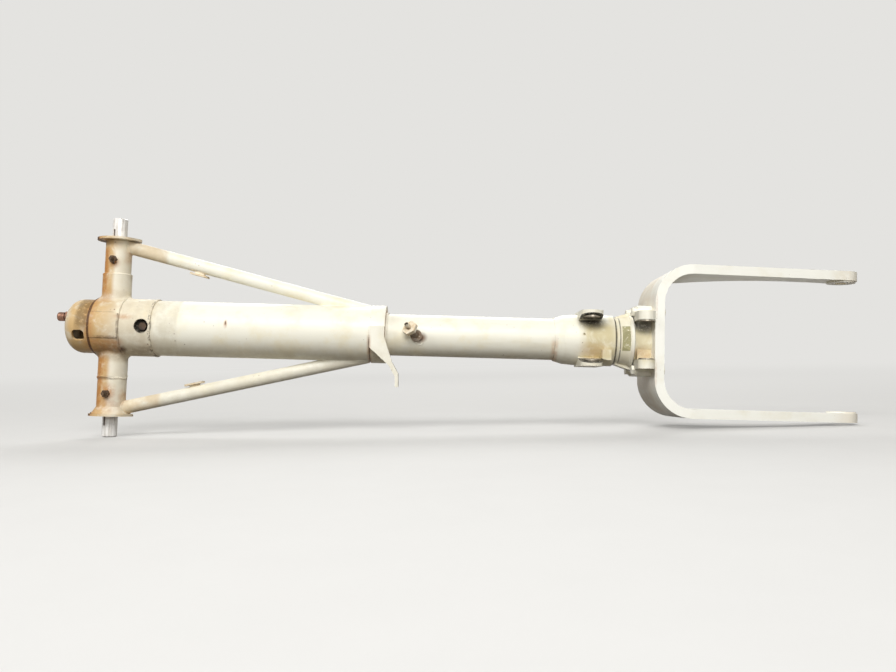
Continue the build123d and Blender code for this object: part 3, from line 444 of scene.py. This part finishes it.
def head_tint(s):
    """Olive brown dirt round the cap and beside its seam, and olive brown painted shade under the
    sleeve.
    """
    band = s.times(s.between(s.x, -41, -24, 3), s.fade(s.z, -14, 4))
    edge = s.times(s.between(s.x, -61, -57, 2), s.fade(s.z, -2, 10), 0.6)
    # Painted shade on the underside of the sleeve
    under = s.times(s.between(s.x, -20, 98, 6), s.between(s.z, -46, -27, 5), 0.45)
    mask = s.broken(s.most(band, edge, under), 6.0, 0.26, 0.54, detail=6, rough=0.65)
    return s.times(mask, 0.8), OLIVE


def head_seam(s):
    """Brown dirt where the cap meets the saddle and along the edges of the flat pad."""
    joint = s.between(s.x, THRUST_SEAM_X - 2.6, THRUST_SEAM_X + 2.0, 0.6)
    near = s.fade(s.y, 0, -25)
    lower_edge = s.times(s.between(s.x, -20, 16, 2), s.between(s.z, -18.0, -14.3, 0.9), near, 0.6)
    upper_edge = s.times(s.between(s.x, -20, 12, 3), s.between(s.z, 17.5, 19.0, 0.8), near, 0.35)
    right_edge = s.times(s.between(s.x, 16.4, 20.0, 0.8), s.between(s.z, -34, 10, 6), near, 0.55)
    edges = s.broken(
        s.most(lower_edge, upper_edge, right_edge), 7.0, 0.30, 0.60, detail=5, rough=0.65
    )
    low_corner = s.times(s.spot((21, -24, -32), 5, 4, (1.0, 1.0, 1.7)), 0.9)
    sleeve_end = s.broken(
        s.between(s.x, SLEEVE_END_X - 1.5, SLEEVE_END_X + 3.0, 0.8), 5, 0.50, 0.60,
        detail=5, rough=0.7,
    )
    step = s.times(
        s.between(s.z, LOWER_STEP_Z - 3.5, LOWER_STEP_Z + 1.0, 1.5), s.fade(s.x, 14, -2), 0.5
    )
    return s.most(joint, edges, low_corner, s.times(sleeve_end, 0.7), step)


def body_dirt_and_shade(s):
    """The head's greyer paint, long faint streaks, dull paint beside the collar, and painted shade
    underneath.
    """
    near_collar = s.times(s.between(s.x, LOWER_COLLAR_X + 12, LOWER_COLLAR_X + 42, 8), 0.5)
    streaks = s.ramp(s.grain(20, detail=5, rough=0.6, stretch=(7, 1, 1)), 0.52, 0.74)
    # Painted shade: greyer, duller paint towards the bottom
    under = s.times(s.fade(s.z, -10, -34), 0.7)
    return s.most(head_greyer_paint(s), near_collar, s.times(streaks, 0.45), under)


def body_orange(s):
    """Rust round the chip, along the collar and the torque collar's joint, and by the side valve."""
    chip = s.spot((CHIP_X, -37.5, 6), 2.4, 2.0, (0.8, 1, 1.8))
    collar = s.times(
        s.between(s.x, LOWER_COLLAR_X - 3, LOWER_COLLAR_X + 2, 2), s.fade(s.z, 8, -18), 0.7
    )
    joint = s.times(
        s.between(s.x, COLLAR_JOINT_X - 5, COLLAR_JOINT_X + 2, 3), s.fade(s.z, 6, -12), 0.5
    )
    valve = s.spot(VALVE_STAIN, 5, 5, (1.3, 1, 1))
    return s.most(chip, collar, joint, valve)


def body_seam(s):
    """A chip in the paint, two smaller marks on the housing, and dirt right of the side valve."""
    chip = s.spot((CHIP_X, -37.5, 7), 1.3, 0.9, (0.7, 1, 2.0))
    left_mark = s.times(s.spot((CHIP_X - 29, -38, 8), 0.7, 0.7), 0.7)
    right_mark = s.times(s.spot((CHIP_X - 16, -38, 3), 0.5, 0.6), 0.7)
    stain = s.times(s.spot((428, -28, -4), 6.5, 4, (1.2, 1, 0.9)), 0.8)
    return s.most(chip, left_mark, right_mark, stain)


def body_grime_and_shade(s):
    """Black lines in the joints, painted shade inside the sight hole, and grime by the side valve."""
    collar = s.times(
        s.between(s.x, LOWER_COLLAR_X - 1.0, LOWER_COLLAR_X + 0.6, 0.8), s.fade(s.z, 0, -14)
    )
    joint = s.times(
        s.between(s.x, COLLAR_JOINT_X - 0.8, COLLAR_JOINT_X + 0.8, 0.7), s.fade(s.z, 4, -10)
    )
    # Painted shade on the housing, seen through the sight hole
    hole = s.spot((SIGHT_HOLE_X, -34, 0), 14, 2)
    valve = s.times(s.spot(VALVE_STAIN, 3, 4), 0.7)
    return s.most(collar, joint, hole, valve)


def film_tan(s):
    """A tan film all over, thinner in patches."""
    return s.level(s.ramp(s.grain(6, detail=5, rough=0.6), 0.35, 0.65), 0.30, 0.75)


def valve_dirt_and_shadow(s):
    """Dirt and painted shade on the lower half of the side valve, and the tip's painted shadow beside
    it.
    """
    foot = s.times(s.spot(SIDE_VALVE_FOOT, 12, 3), 0.85)
    # The tip's painted shadow on the hex face
    tip_shadow = s.spot((412.5, -45.5, 7), 2.2, 1.2, (1.4, 1, 1))
    return s.most(foot, tip_shadow)


def valve_tip_shade(s):
    """Painted shade at the side valve's tip, where its hole looks dark."""
    return s.spot(SIDE_VALVE_FOOT + SIDE_VALVE_AXIS * SIDE_VALVE_LENGTH, 2.9, 0.5)


def lug_tan(s):
    """Straw film between the lugs and near the torque collar's end."""
    between_lugs = s.times(
        s.between(s.x, LUG_X - 8, COLLAR_END_X, 10), s.between(s.z, -29, 22, 8), 0.85
    )
    end = s.times(s.between(s.x, COLLAR_END_X - 10, COLLAR_END_X - 2, 4), 0.5)
    return s.most(between_lugs, end)


def lug_orange(s):
    """Faint rust over the lower lug and in the torque collar's joint."""
    low = s.times(s.spot((LUG_X + 4, -33, -16), 12, 10, (1.4, 1, 0.8)), 0.35)
    joint = s.times(
        s.between(s.x, COLLAR_JOINT_X - 2, COLLAR_JOINT_X + 3, 2), s.fade(s.z, 8, -14), 0.5
    )
    return s.most(low, joint)


def lug_grease_and_shadow(s):
    """Black grease on the faces that look at each other, and a painted shadow under the upper lug."""
    spread = (LUG_TIP_GAP - LUG_ROOT_GAP) / 2 / (LUG_TIP_REACH - LUG_ROOT_REACH)
    face_at_axis = LUG_ROOT_GAP / 2 - spread * LUG_ROOT_REACH
    inner_face = s.calc("MULTIPLY_ADD", s.y, -spread, face_at_axis * MM)
    behind_face = s.calc("SUBTRACT", s.off_axis(), inner_face)
    faces = s.times(
        s.between(behind_face, -1.4, 0.9, 0.4), s.fade(s.y, -31, -35),
        s.between(s.x, LUG_X - 20, LUG_X + 20, 4),
    )
    # A painted shadow that the upper lug casts on the collar below it
    shadow = s.times(s.spot((LUG_X + 4, -25, 25), 11, 8, (1.5, 1, 1.0)), 0.9)
    end = s.times(s.between(s.x, COLLAR_END_X - 1.2, COLLAR_END_X + 0.8, 0.5), 0.8)
    return s.most(faces, shadow, end)


def fitting_tan(s):
    """Straw film on the fork fitting's barrel, thinner on its shoulder."""
    barrel = s.times(
        s.between(s.x, RING_GROOVE_X + 1, WEB_X, 2), s.between(s.z, -30, 18, 6), 0.7
    )
    shoulder = s.times(s.between(s.x, COLLAR_END_X, RING_GROOVE_X - 5, 4), 0.35)
    return s.most(barrel, shoulder)


def fitting_orange(s):
    """Faint rust low on the barrel."""
    return s.times(s.spot((RING_GROOVE_X + 12, -29, -18), 8, 7, (1.6, 1, 1)), 0.5)


def fitting_grease_and_shadow(s):
    """A painted shadow under the upper lug, and black grease on the lugs' inner faces and in the
    grooves.
    """
    # A painted shadow that the upper lug casts on the barrel
    upper = s.times(s.spot((RING_GROOVE_X + 13, -26, 20), 9, 6, (1.6, 1, 1.1)), 0.85)
    faces = s.times(s.between(s.off_axis(), 24.6, 27.2, 0.5), s.fade(s.y, -30, -34), 0.7)
    top = s.times(s.between(s.x, COLLAR_END_X, COLLAR_END_X + 1.4, 0.4), 0.9)
    top_groove = s.times(
        s.between(s.x, TOP_GROOVE_X - 0.8, TOP_GROOVE_X + 0.8, 0.5), s.fade(s.y, -8, -20), 0.75
    )
    ring_groove = s.times(s.between(s.x, RING_GROOVE_X - 0.4, RING_GROOVE_X + 1.2, 0.5), 0.8)
    return s.most(upper, faces, top, top_groove, ring_groove)


def fitting_tint(s):
    """Green putty in the fork fitting's pocket."""
    pocket = s.times(
        s.between(s.x, POCKET_X - 5.4, POCKET_X + 5.4, 0.5), s.between(s.z, -15, 19, 0.7),
        s.fade(s.y, -25, -30),
    )
    return s.times(s.broken(pocket, 3.5, 0.30, 0.46, detail=6, rough=0.65), 0.85), PUTTY


def fork_dirt(s):
    """Dull paint on the fork's bridge towards the fitting, and faint streaks along the arms."""
    web = s.times(s.between(s.x, WEB_X, 800, 12), s.fade(s.y, -44, -30), 0.6)
    film = s.ramp(s.grain(30, detail=4, rough=0.6, stretch=(3, 1, 1)), 0.50, 0.74)
    return s.most(web, s.times(film, 0.22))


def fork_tan(s):
    """A tan film on the far side of the bridge and at the tips of the arms."""
    bridge = s.times(s.between(s.x, WEB_X, 775, 8), s.fade(s.y, -20, 0), 0.3)
    tips = s.times(s.fade(s.x, 985, 1020), 0.25)
    return s.most(bridge, tips)


def fork_orange(s):
    """Faint rust on the bridge's edges beside the bolts."""
    return s.times(
        s.between(s.x, WEB_X, WEB_X + 3, 1.0), s.between(s.off_axis(), 30, 62, 8), 0.3
    )


def polished_steel(name, tone, along, metallic=1.0, slots=None):
    """Bright turned steel with fine scratches, long streaks and a few dull finger marks."""
    s = Shade(name)
    scratches = s.grain(0.5, detail=3, rough=0.6, stretch=along)
    streaks = s.ramp(s.grain(2.6, detail=4, rough=0.6, stretch=along), 0.40, 0.66)
    marks = s.ramp(s.grain(9, detail=5, rough=0.6), 0.48, 0.70)
    pits = s.specks(4.0, 0.12)
    colour = s.stain(srgb(*tone), streaks, 0.42, STEEL_STREAK)
    colour = s.stain(colour, marks, 0.30, STEEL_MARK)
    colour = s.stain(colour, pits, 0.5, RUST)
    # Painted shade in the slots, where asked
    if slots:
        colour = s.stain(colour, slots(s), 0.9, BROWN_DIRT_AND_SHADE)
    s.bumps((scratches, 0.006), (pits, 0.02))
    return s.finish(colour, s.level(marks, 0.16, 0.34), metallic)


def pin_slot_shade(s):
    """Painted shade in the keying slots at the ends of the trunnion pins."""
    return s.times(
        s.between(s.x, PIN_SLOT_X - 1.3, PIN_SLOT_X + 1.3, 0.3), s.between(s.off_axis(), 122, 137, 0.6),
        s.fade(s.y, 0, -4),
    )


def worn_metal(name, tone, grime, rough, dirt):
    """Machined metal that has gone dull, with a grimy film in patches."""
    s = Shade(name)
    patches = s.grain(6, detail=7, rough=0.66, warp=0.5)
    film = s.ramp(patches, 0.62 - dirt * 0.3, 0.80 - dirt * 0.2)
    fine = s.grain(0.8, detail=5, rough=0.7)
    colour = s.blend(s.ramp(fine, 0.35, 0.7), srgb(*tone), srgb(*[v * 0.82 for v in tone]))
    colour = s.stain(colour, film, 0.85, srgb(*grime))
    s.bumps((fine, 0.03), (s.times(film, s.grain(1.4, detail=4)), 0.08))
    return s.finish(colour, s.level(film, rough, 0.66), s.level(film, 0.9, 0.15))


def rubber(name):
    """Black rubber with grey dust on it."""
    s = Shade(name)
    dust = s.ramp(s.grain(7, detail=6, rough=0.65), 0.50, 0.80)
    s.bumps((s.grain(0.6, detail=4, rough=0.7), 0.02))
    return s.finish(s.stain(RUBBER_BLACK, dust, 0.5, RUBBER_DUST), s.level(dust, 0.45, 0.75))


def grease(name):
    """Old grease: dark, wet in places, with rusty dust on it."""
    s = Shade(name)
    dust = s.ramp(s.grain(3.0, detail=7, rough=0.7), 0.40, 0.56)
    s.bumps((s.grain(1.1, detail=5, rough=0.65), 0.35))
    return s.finish(s.blend(dust, GREASE_WET, GREASE_DUST), s.level(dust, 0.30, 0.72))


head_paint = old_paint(
    "head_paint", head_greyer_paint, head_tan, head_orange, head_grease_and_shade, head_tint, head_seam, speck=0.20
)
body_paint = old_paint("body_paint", body_dirt_and_shade, head_tan, body_orange, body_grime_and_shade, seam=body_seam)
valve_paint = old_paint("valve_paint", body_dirt_and_shade, film_tan, grease_and_shade=valve_tip_shade, seam=valve_dirt_and_shadow)
tab_paint = old_paint("tab_paint", body_dirt_and_shade, film_tan, speck=0.22)
lug_paint = old_paint("lug_paint", body_dirt_and_shade, lug_tan, lug_orange, lug_grease_and_shadow, tan_colour=STRAW)
fitting_paint = old_paint(
    "fitting_paint", fork_dirt, fitting_tan, fitting_orange, fitting_grease_and_shadow, fitting_tint,
    tan_colour=STRAW,
)
fork_paint = old_paint(
    "fork_paint", fork_dirt, fork_tan, fork_orange, base=(WHITE, OFF_WHITE), speck=0.10
)
bolt_paint = old_paint("bolt_paint", fork_dirt, fitting_tan, fork_orange, speck=0.12)
pin_steel = polished_steel(
    "pin_steel", tone=(252, 250, 246), along=(1, 1, 14), metallic=0.08, slots=pin_slot_shade
)
chrome = polished_steel("piston_chrome", tone=(214, 214, 214), along=(14, 1, 1))
bush_steel = worn_metal("bush_steel", (186, 176, 158), (52, 36, 24), rough=0.3, dirt=0.4)
fitting_steel = worn_metal("fitting_steel", (112, 92, 72), (52, 34, 22), rough=0.5, dirt=0.7)
valve_steel = worn_metal("valve_steel", (150, 112, 92), (82, 52, 36), rough=0.48, dirt=0.5)
bolt_steel = worn_metal("bolt_steel", (92, 76, 62), (40, 28, 20), rough=0.5, dirt=0.7)
bronze = worn_metal("bronze", (176, 134, 78), (84, 58, 34), rough=0.34, dirt=0.35)
inner_steel = worn_metal("inner_steel", (150, 148, 142), (84, 70, 52), rough=0.36, dirt=0.35)
seal = rubber("seal_rubber")
old_grease = grease("old_grease")

# Which nodes wear which material
finishes = {
    head_paint: (
        "head_sleeve trunnion_tube_upper trunnion_tube_lower trunnion_flange_upper "
        "trunnion_flange_lower top_cap thrust_ring"
    ),
    body_paint: (
        "housing_tube brace_tube_upper brace_tube_lower lower_collar hook_plate "
        "cylinder_tube bearing_retainer"
    ),
    tab_paint: "brace_tab_upper brace_tab_lower",
    lug_paint: "torque_collar gland_nut",
    fitting_paint: "fork_fitting",
    fork_paint: "fork axle_bosses",
    bolt_paint: "fork_bolts fork_washers fork_nuts",
    pin_steel: "trunnion_pin_upper trunnion_pin_lower",
    chrome: "piston_tube",
    bush_steel: "upper_link_bushes lower_link_bushes",
    fitting_steel: "grease_fittings",
    valve_steel: "air_valve",
    valve_paint: "side_valve",
    bolt_steel: "stop_bolt",
    bronze: (
        "trunnion_bush_upper trunnion_bush_lower steering_bearing_upper steering_bearing_lower "
        "gland_bearing piston_bearing"
    ),
    inner_steel: (
        "pin_ring_upper pin_ring_lower cylinder_head orifice_tube orifice_plate "
        "metering_pin piston_plug bearing_rings"
    ),
    seal: "gland_seal wiper_ring",
}
for material, names in finishes.items():
    for name in names.split():
        slots = nodes[name].data.materials
        slots.clear()
        slots.append(material)


# Rounds on the rims that the eye meets, by their width
SHARP_ANGLE = math.radians(38)
rounded = {
    1.0: "fork",
    0.6: "hook_plate fork_fitting",
    0.5: "torque_collar trunnion_flange_upper trunnion_flange_lower top_cap",
    0.4: "brace_tab_upper brace_tab_lower gland_nut lower_collar",
}
for width, names in rounded.items():
    for name in names.split():
        bevel = nodes[name].modifiers.new("rounded_edges", "BEVEL")
        bevel.width = width * MM
        bevel.segments = 2
        bevel.limit_method = "ANGLE"
        bevel.angle_limit = SHARP_ANGLE


# Weld beads, by the points across one and the points round a ring
BEAD_SIDES = 9
RING_STEPS = 220

# A bead's crown, its depth in the skin, its sway and a puddle, as shares of its width
BEAD_CROWN = 0.34
BEAD_SINK = 0.12
BEAD_SWAY = 0.25
PUDDLE_LENGTH = 0.62

# How much width and crown wander, how strongly the puddles show in the crown, and how quickly
# the bead changes along its path and a ring drifts along its axis
WIDTH_WANDER = 0.18
CROWN_WANDER = 0.2
CROWN_RIPPLE = 1.6
WANDER_RATE = 0.12
DRIFT_RATE = 1.3

# How much a brace's beads lean away from the strut's axis
BEAD_LEAN = 0.6


def make_piece(name, vertices, faces, material, body):
    """A smooth piece of its own that rides on a body, from points in mm."""
    mesh = bpy.data.meshes.new(name)
    mesh.from_pydata([Vector(v) * MM for v in vertices], [], faces)
    mesh.update()
    for polygon in mesh.polygons:
        polygon.use_smooth = True
    mesh.materials.append(material)
    piece = bpy.data.objects.new(name, mesh)
    bpy.context.scene.collection.objects.link(piece)
    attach(piece, body)
    return piece


def weld(name, path, outward, width, body, material, closed=True, ripple=0.22, seed=0):
    """A weld bead laid along a path: an arched strip whose crown steps like a row of puddles."""
    count = len(path)
    vertices = []
    travelled = 0.0
    for i, point in enumerate(path):
        before = path[i - 1] if closed or i else path[i]
        after = path[(i + 1) % count] if closed or i < count - 1 else path[i]
        along = (after - before).normalized()
        out = outward(point)
        out = (out - along * out.dot(along)).normalized()
        side = along.cross(out)
        travelled += (point - before).length if i else 0.0
        pulse = abs(math.sin(travelled / (width * PUDDLE_LENGTH) * math.pi / 2))
        wander = noise.noise(point * WANDER_RATE + Vector((seed, 0, 0)))
        puddle = ripple * (pulse - 0.5)
        half = width / 2 * (1 + puddle + WIDTH_WANDER * wander)
        crown = width * BEAD_CROWN * (1 + puddle * CROWN_RIPPLE + CROWN_WANDER * wander)
        for k in range(BEAD_SIDES):
            angle = math.pi * k / (BEAD_SIDES - 1)
            vertices.append(
                point
                + side * (half * math.cos(angle) + BEAD_SWAY * width * wander)
                + out * (crown * math.sin(angle) - BEAD_SINK * width)
            )
    faces = []
    for i in range(count if closed else count - 1):
        row, next_row = i * BEAD_SIDES, (i + 1) % count * BEAD_SIDES
        for k in range(BEAD_SIDES):
            n = (k + 1) % BEAD_SIDES
            faces.append((row + k, next_row + k, next_row + n, row + n))
    if not closed:
        faces.append(tuple(range(BEAD_SIDES)))
        faces.append(tuple(reversed(range((count - 1) * BEAD_SIDES, count * BEAD_SIDES))))
    mesh = make_piece(name, vertices, faces, material, body).data
    bead = bmesh.new()
    bead.from_mesh(mesh)
    bmesh.ops.recalc_face_normals(bead, faces=bead.faces)
    bead.to_mesh(mesh)
    bead.free()


def away_from(axis):
    """A function that gives the direction straight away from an axis, at any point."""
    def outward(point):
        return point - axis * point.dot(axis)
    return outward


def ring_weld(name, axis, station, radius, width, body, material, wave=0.0, wave_seed=0, **bead):
    """A weld round an axis that drifts along it by up to wave mm."""
    start = X_AXIS if axis == Z_AXIS else Z_AXIS
    across = axis.cross(start)
    path = []
    for i in range(RING_STEPS):
        angle = 2 * math.pi * i / RING_STEPS
        direction = start * math.cos(angle) + across * math.sin(angle)
        drift = wave * noise.noise(direction * DRIFT_RATE + Vector((0, 0, wave_seed)))
        path.append(axis * station + direction * radius + axis * drift)
    weld(name, path, away_from(axis), width, body, material, **bead)


brace_head = Z_AXIS * BRACE_HEAD_Z
brace_drop = (BRACE_HEAD_Z - BRACE_FOOT_Z) / BRACE_FOOT_X
brace_axis = Vector((1, 0, -brace_drop)).normalized()
brace_normal = Vector((brace_drop, 0, 1)).normalized()


def brace_skin(steps=150):
    """Points round the upper brace tube's skin at its head, from its top and back to it."""
    for i in range(steps + 1):
        turn = math.pi * (0.5 + 2 * i / steps)
        skin = Y_AXIS * math.cos(turn) + brace_normal * math.sin(turn)
        yield brace_head + skin * BRACE_RADIUS


def brace_foot_path():
    """Where the upper brace tube's skin runs into the housing, as far as the tube reaches."""
    points = []
    for start in brace_skin():
        housing_z = math.sqrt(HOUSING_RADIUS ** 2 - start.y ** 2)
        point = start + brace_axis * ((housing_z - start.z) / brace_axis.z)
        if point.x <= BRACE_END_X:
            points.append(point)
    return points


def brace_head_path(tube_radius):
    """Where the upper brace tube's skin leaves the trunnion tube, below the flange."""
    points = []
    for point in brace_skin():
        tube_x = math.sqrt(tube_radius ** 2 - point.y ** 2)
        point += brace_axis * ((tube_x - point.x) / brace_axis.x)
        if point.z < TRUNNION_WELD_Z - 0.5:
            points.append(point)
    return points


def flipped(points):
    """The points mirrored from the upper half to the lower one."""
    return [Vector((p.x, p.y, -p.z)) for p in points]


def from_brace(side):
    """A function that gives the way out from a brace tube, leaning away from the strut's axis."""
    def outward(point):
        upper = Vector((point.x, point.y, side * point.z))
        away = away_from(brace_axis)(upper - brace_head)
        away += away_from(X_AXIS)(upper).normalized() * BRACE_RADIUS * BEAD_LEAN
        return Vector((away.x, away.y, side * away.z))
    return outward


for side_name, side, tube_radius, flange_joint_radius in (
    ("upper", 1, UPPER_TUBE_RADIUS, UPPER_TUBE_RADIUS),
    ("lower", -1, LOWER_TUBE_RADIUS, LOWER_FLARE_RADIUS),
):
    ring_weld(
        f"weld_flange_{side_name}", Z_AXIS, side * (TRUNNION_WELD_Z - 0.7), flange_joint_radius,
        2.2, "housing", head_paint, seed=side,
    )
    foot, head = brace_foot_path(), brace_head_path(tube_radius)
    if side < 0:
        foot, head = flipped(foot), flipped(head)
    weld(f"weld_brace_foot_{side_name}", foot, from_brace(side), 3.6, "housing", body_paint,
         closed=False, seed=3 * side)
    weld(f"weld_brace_head_{side_name}", head, from_brace(side), 3.4, "housing", head_paint,
         closed=False, seed=5 * side)

ring_weld("weld_tube_lower", Z_AXIS, LOWER_STEP_Z, TRUNNION_ROOT_RADIUS, 2.6, "housing", head_paint,
          wave=3.5, wave_seed=2, ripple=0.35, seed=9)
ring_weld("weld_tube_upper", Z_AXIS, UPPER_STEP_Z, TRUNNION_ROOT_RADIUS - 0.3, 2.0, "housing",
          head_paint, wave=0.8, wave_seed=4, ripple=0.2, seed=11)
ring_weld("weld_torque_collar", X_AXIS, COLLAR_JOINT_X, COLLAR_NECK_RADIUS - 0.4, 1.8, "cylinder",
          lug_paint, wave=0.3, seed=13)
ring_weld("weld_sleeve_end", X_AXIS, SLEEVE_END_X + 0.6, HOUSING_RADIUS + 0.3, 1.8, "housing",
          head_paint, wave=0.5, wave_seed=6, seed=15)


def valve_foot_path(steps=120):
    """Where the leaning side valve's boss runs into the cylinder."""
    axis = SIDE_VALVE_AXIS.normalized()
    across = axis.cross(X_AXIS).normalized()
    square = axis.y ** 2 + axis.z ** 2
    points = []
    for i in range(steps):
        turn = 2 * math.pi * i / steps
        rim = across * math.cos(turn) + axis.cross(across) * math.sin(turn)
        start = SIDE_VALVE_FOOT + rim * SIDE_VALVE_BOSS_RADIUS

        # The way along the axis to the cylinder's skin solves a quadratic equation
        half = start.y * axis.y + start.z * axis.z
        rest = start.y ** 2 + start.z ** 2 - CYLINDER_RADIUS ** 2
        points.append(start + axis * ((math.sqrt(half ** 2 - square * rest) - half) / square))
    return points


def hook_weld_path(start=-12, end=28, steps=60):
    """Across the hook plate's edge on the lower collar, between two angles in degrees."""
    points = []
    for i in range(steps + 1):
        turn = math.radians(start + (end - start) * i / steps)
        away = Vector((0, math.cos(turn), math.sin(turn))) * LOWER_COLLAR_RADIUS
        points.append(Vector((LOWER_COLLAR_X - 0.4, -1.2, 0)) - away)
    return points


weld("weld_side_valve", valve_foot_path(), away_from(X_AXIS), 1.8, "cylinder", body_paint, seed=17)
weld("weld_hook_plate", hook_weld_path(), away_from(X_AXIS), 2.6, "housing", body_paint,
     closed=False, seed=19)


# Grease
def grease_lump(name, centre, size, body, seed):
    """A smeared lump of old grease: a ball squeezed by noise and flattened where it sits."""
    lump = bmesh.new()
    bmesh.ops.create_icosphere(lump, subdivisions=4, radius=1.0)
    vertices = []
    for vertex in lump.verts:
        direction = vertex.co.normalized()
        swell = 1 + 0.32 * noise.noise(direction * 1.7 + Vector((seed, 0, 0)))
        swell += 0.14 * noise.noise(direction * 5.0 + Vector((0, seed, 0)))
        vertices.append(Vector(centre) + Vector([direction[k] * swell * size[k] for k in range(3)]))
    faces = [[v.index for v in f.verts] for f in lump.faces]
    lump.free()
    make_piece(name, vertices, faces, old_grease, body)


grease_lump("grease_upper", (0.5, -18.6, GREASE_FITTING_Z - 2.5), (3.8, 3.2, 3.2), "housing", seed=1)
grease_lump("grease_lower", (-0.5, -20.2, -GREASE_FITTING_Z - 0.5), (4.6, 3.8, 3.8), "housing", seed=4)
grease_lump("grease_valve", (427.0, -28.9, -4.5), (3.6, 1.2, 2.8), "cylinder", seed=7)


# Camera, in metres like the floor and the lamps
FOCAL_PIXELS = 848.0
IMAGE_WIDTH = 896
SENSOR_WIDTH = 36.0
EYE = Vector((0.465, -1.186, -0.077))
AIM = Vector((0.4665, 0.0, 0.0006))
ROLL = math.radians(1.61)

camera_data = bpy.data.cameras.new("camera")
camera_data.sensor_width = SENSOR_WIDTH
camera_data.lens = FOCAL_PIXELS / IMAGE_WIDTH * SENSOR_WIDTH
camera_data.clip_start = 0.02
camera_data.clip_end = 60
camera = bpy.data.objects.new("camera", camera_data)
bpy.context.scene.collection.objects.link(camera)
forward = (AIM - EYE).normalized()
right = forward.cross(Vector((-math.sin(ROLL), 0, math.cos(ROLL)))).normalized()
up = right.cross(forward)
turned = Matrix((right, up, -forward)).transposed().to_4x4()
camera.matrix_world = Matrix.Translation(EYE) @ turned
bpy.context.scene.camera = camera


# Floor, which touches the end of the lower pin and the tip of the lower fork arm
FLOOR_SLOPE = Vector((0.0453, 0.0400))
FLOOR_HEIGHT = -0.1532
FLOOR_MIDDLE_X = 0.5
FLOOR_RADIUS = 12.0

# The floor's haze by nearness, which is 1 over the distance from its middle plus an offset
HAZE_OFFSET = 1.2
HAZE_LEAST_AT = 0.62
HAZE_FULL_AT = 0.10
HAZE_LEAST = 0.35


def pale_floor():
    """A pale floor that fades into the backdrop and throws only dim light at the strut."""
    s = Shade("pale_floor")
    seen = s.seen()
    shown = s.blend(s.grain(60, detail=4), FLOOR_PALE, FLOOR_GREYER)
    s.finish(s.blend(seen, FLOOR_BOUNCE, shown), roughness=0.75)
    nearness = s.calc("DIVIDE", 1.0, s.calc("ADD", s.length(s.place), HAZE_OFFSET))
    haze = s.level(s.ramp(nearness, HAZE_LEAST_AT, HAZE_FULL_AT), HAZE_LEAST, 1.0)
    backdrop = s.glow("ShaderNodeEmission", BACKDROP)
    s.show_either(s.times(haze, seen), s.shader.outputs[0], backdrop)
    return s.material


floor_mesh = bpy.data.meshes.new("floor")
disc = bmesh.new()
bmesh.ops.create_circle(disc, cap_ends=True, segments=96, radius=FLOOR_RADIUS)
disc.to_mesh(floor_mesh)
disc.free()
floor_mesh.materials.append(pale_floor())
floor = bpy.data.objects.new("floor", floor_mesh)
bpy.context.scene.collection.objects.link(floor)
floor_normal = Vector((-FLOOR_SLOPE.x, -FLOOR_SLOPE.y, 1.0))
floor_middle = Vector((FLOOR_MIDDLE_X, 0.0, FLOOR_HEIGHT + FLOOR_SLOPE.x * FLOOR_MIDDLE_X))
floor_tilt = floor_normal.to_track_quat("Z", "Y").to_matrix().to_4x4()
floor.matrix_world = Matrix.Translation(floor_middle) @ floor_tilt


# Light
SKY_STRENGTH = 0.12

world = bpy.data.worlds.new("studio")
bpy.context.scene.world = world
sky = NodeTree(world, "ShaderNodeOutputWorld")
sky.show_either(
    sky.seen(), sky.glow("ShaderNodeBackground", SKY, SKY_STRENGTH),
    sky.glow("ShaderNodeBackground", BACKDROP),
)


def soft_box(name, place, aim, size, watts):
    """A rectangular area lamp that looks at a point."""
    lamp_data = bpy.data.lights.new(name, "AREA")
    lamp_data.shape = "RECTANGLE"
    lamp_data.size, lamp_data.size_y = size
    lamp_data.energy = watts
    lamp = bpy.data.objects.new(name, lamp_data)
    bpy.context.scene.collection.objects.link(lamp)
    lamp.location = place
    lamp.rotation_mode = "QUATERNION"
    lamp.rotation_quaternion = (Vector(aim) - Vector(place)).to_track_quat("-Z", "Y")


soft_box("key", place=(0.15, -2.15, 1.55), aim=(0.45, 0.0, 0.0), size=(1.6, 1.0), watts=53)
soft_box("front", place=(0.8, -3.1, 0.7), aim=(0.55, 0.0, 0.0), size=(1.6, 0.7), watts=25)
soft_box("left", place=(-1.3, -1.2, 1.2), aim=(0.4, 0.0, 0.0), size=(0.5, 0.5), watts=12)
soft_box("back", place=(0.5, 2.3, 2.1), aim=(0.5, 0.0, 0.0), size=(2.6, 1.4), watts=50)

bpy.context.scene.view_settings.view_transform = "Standard"
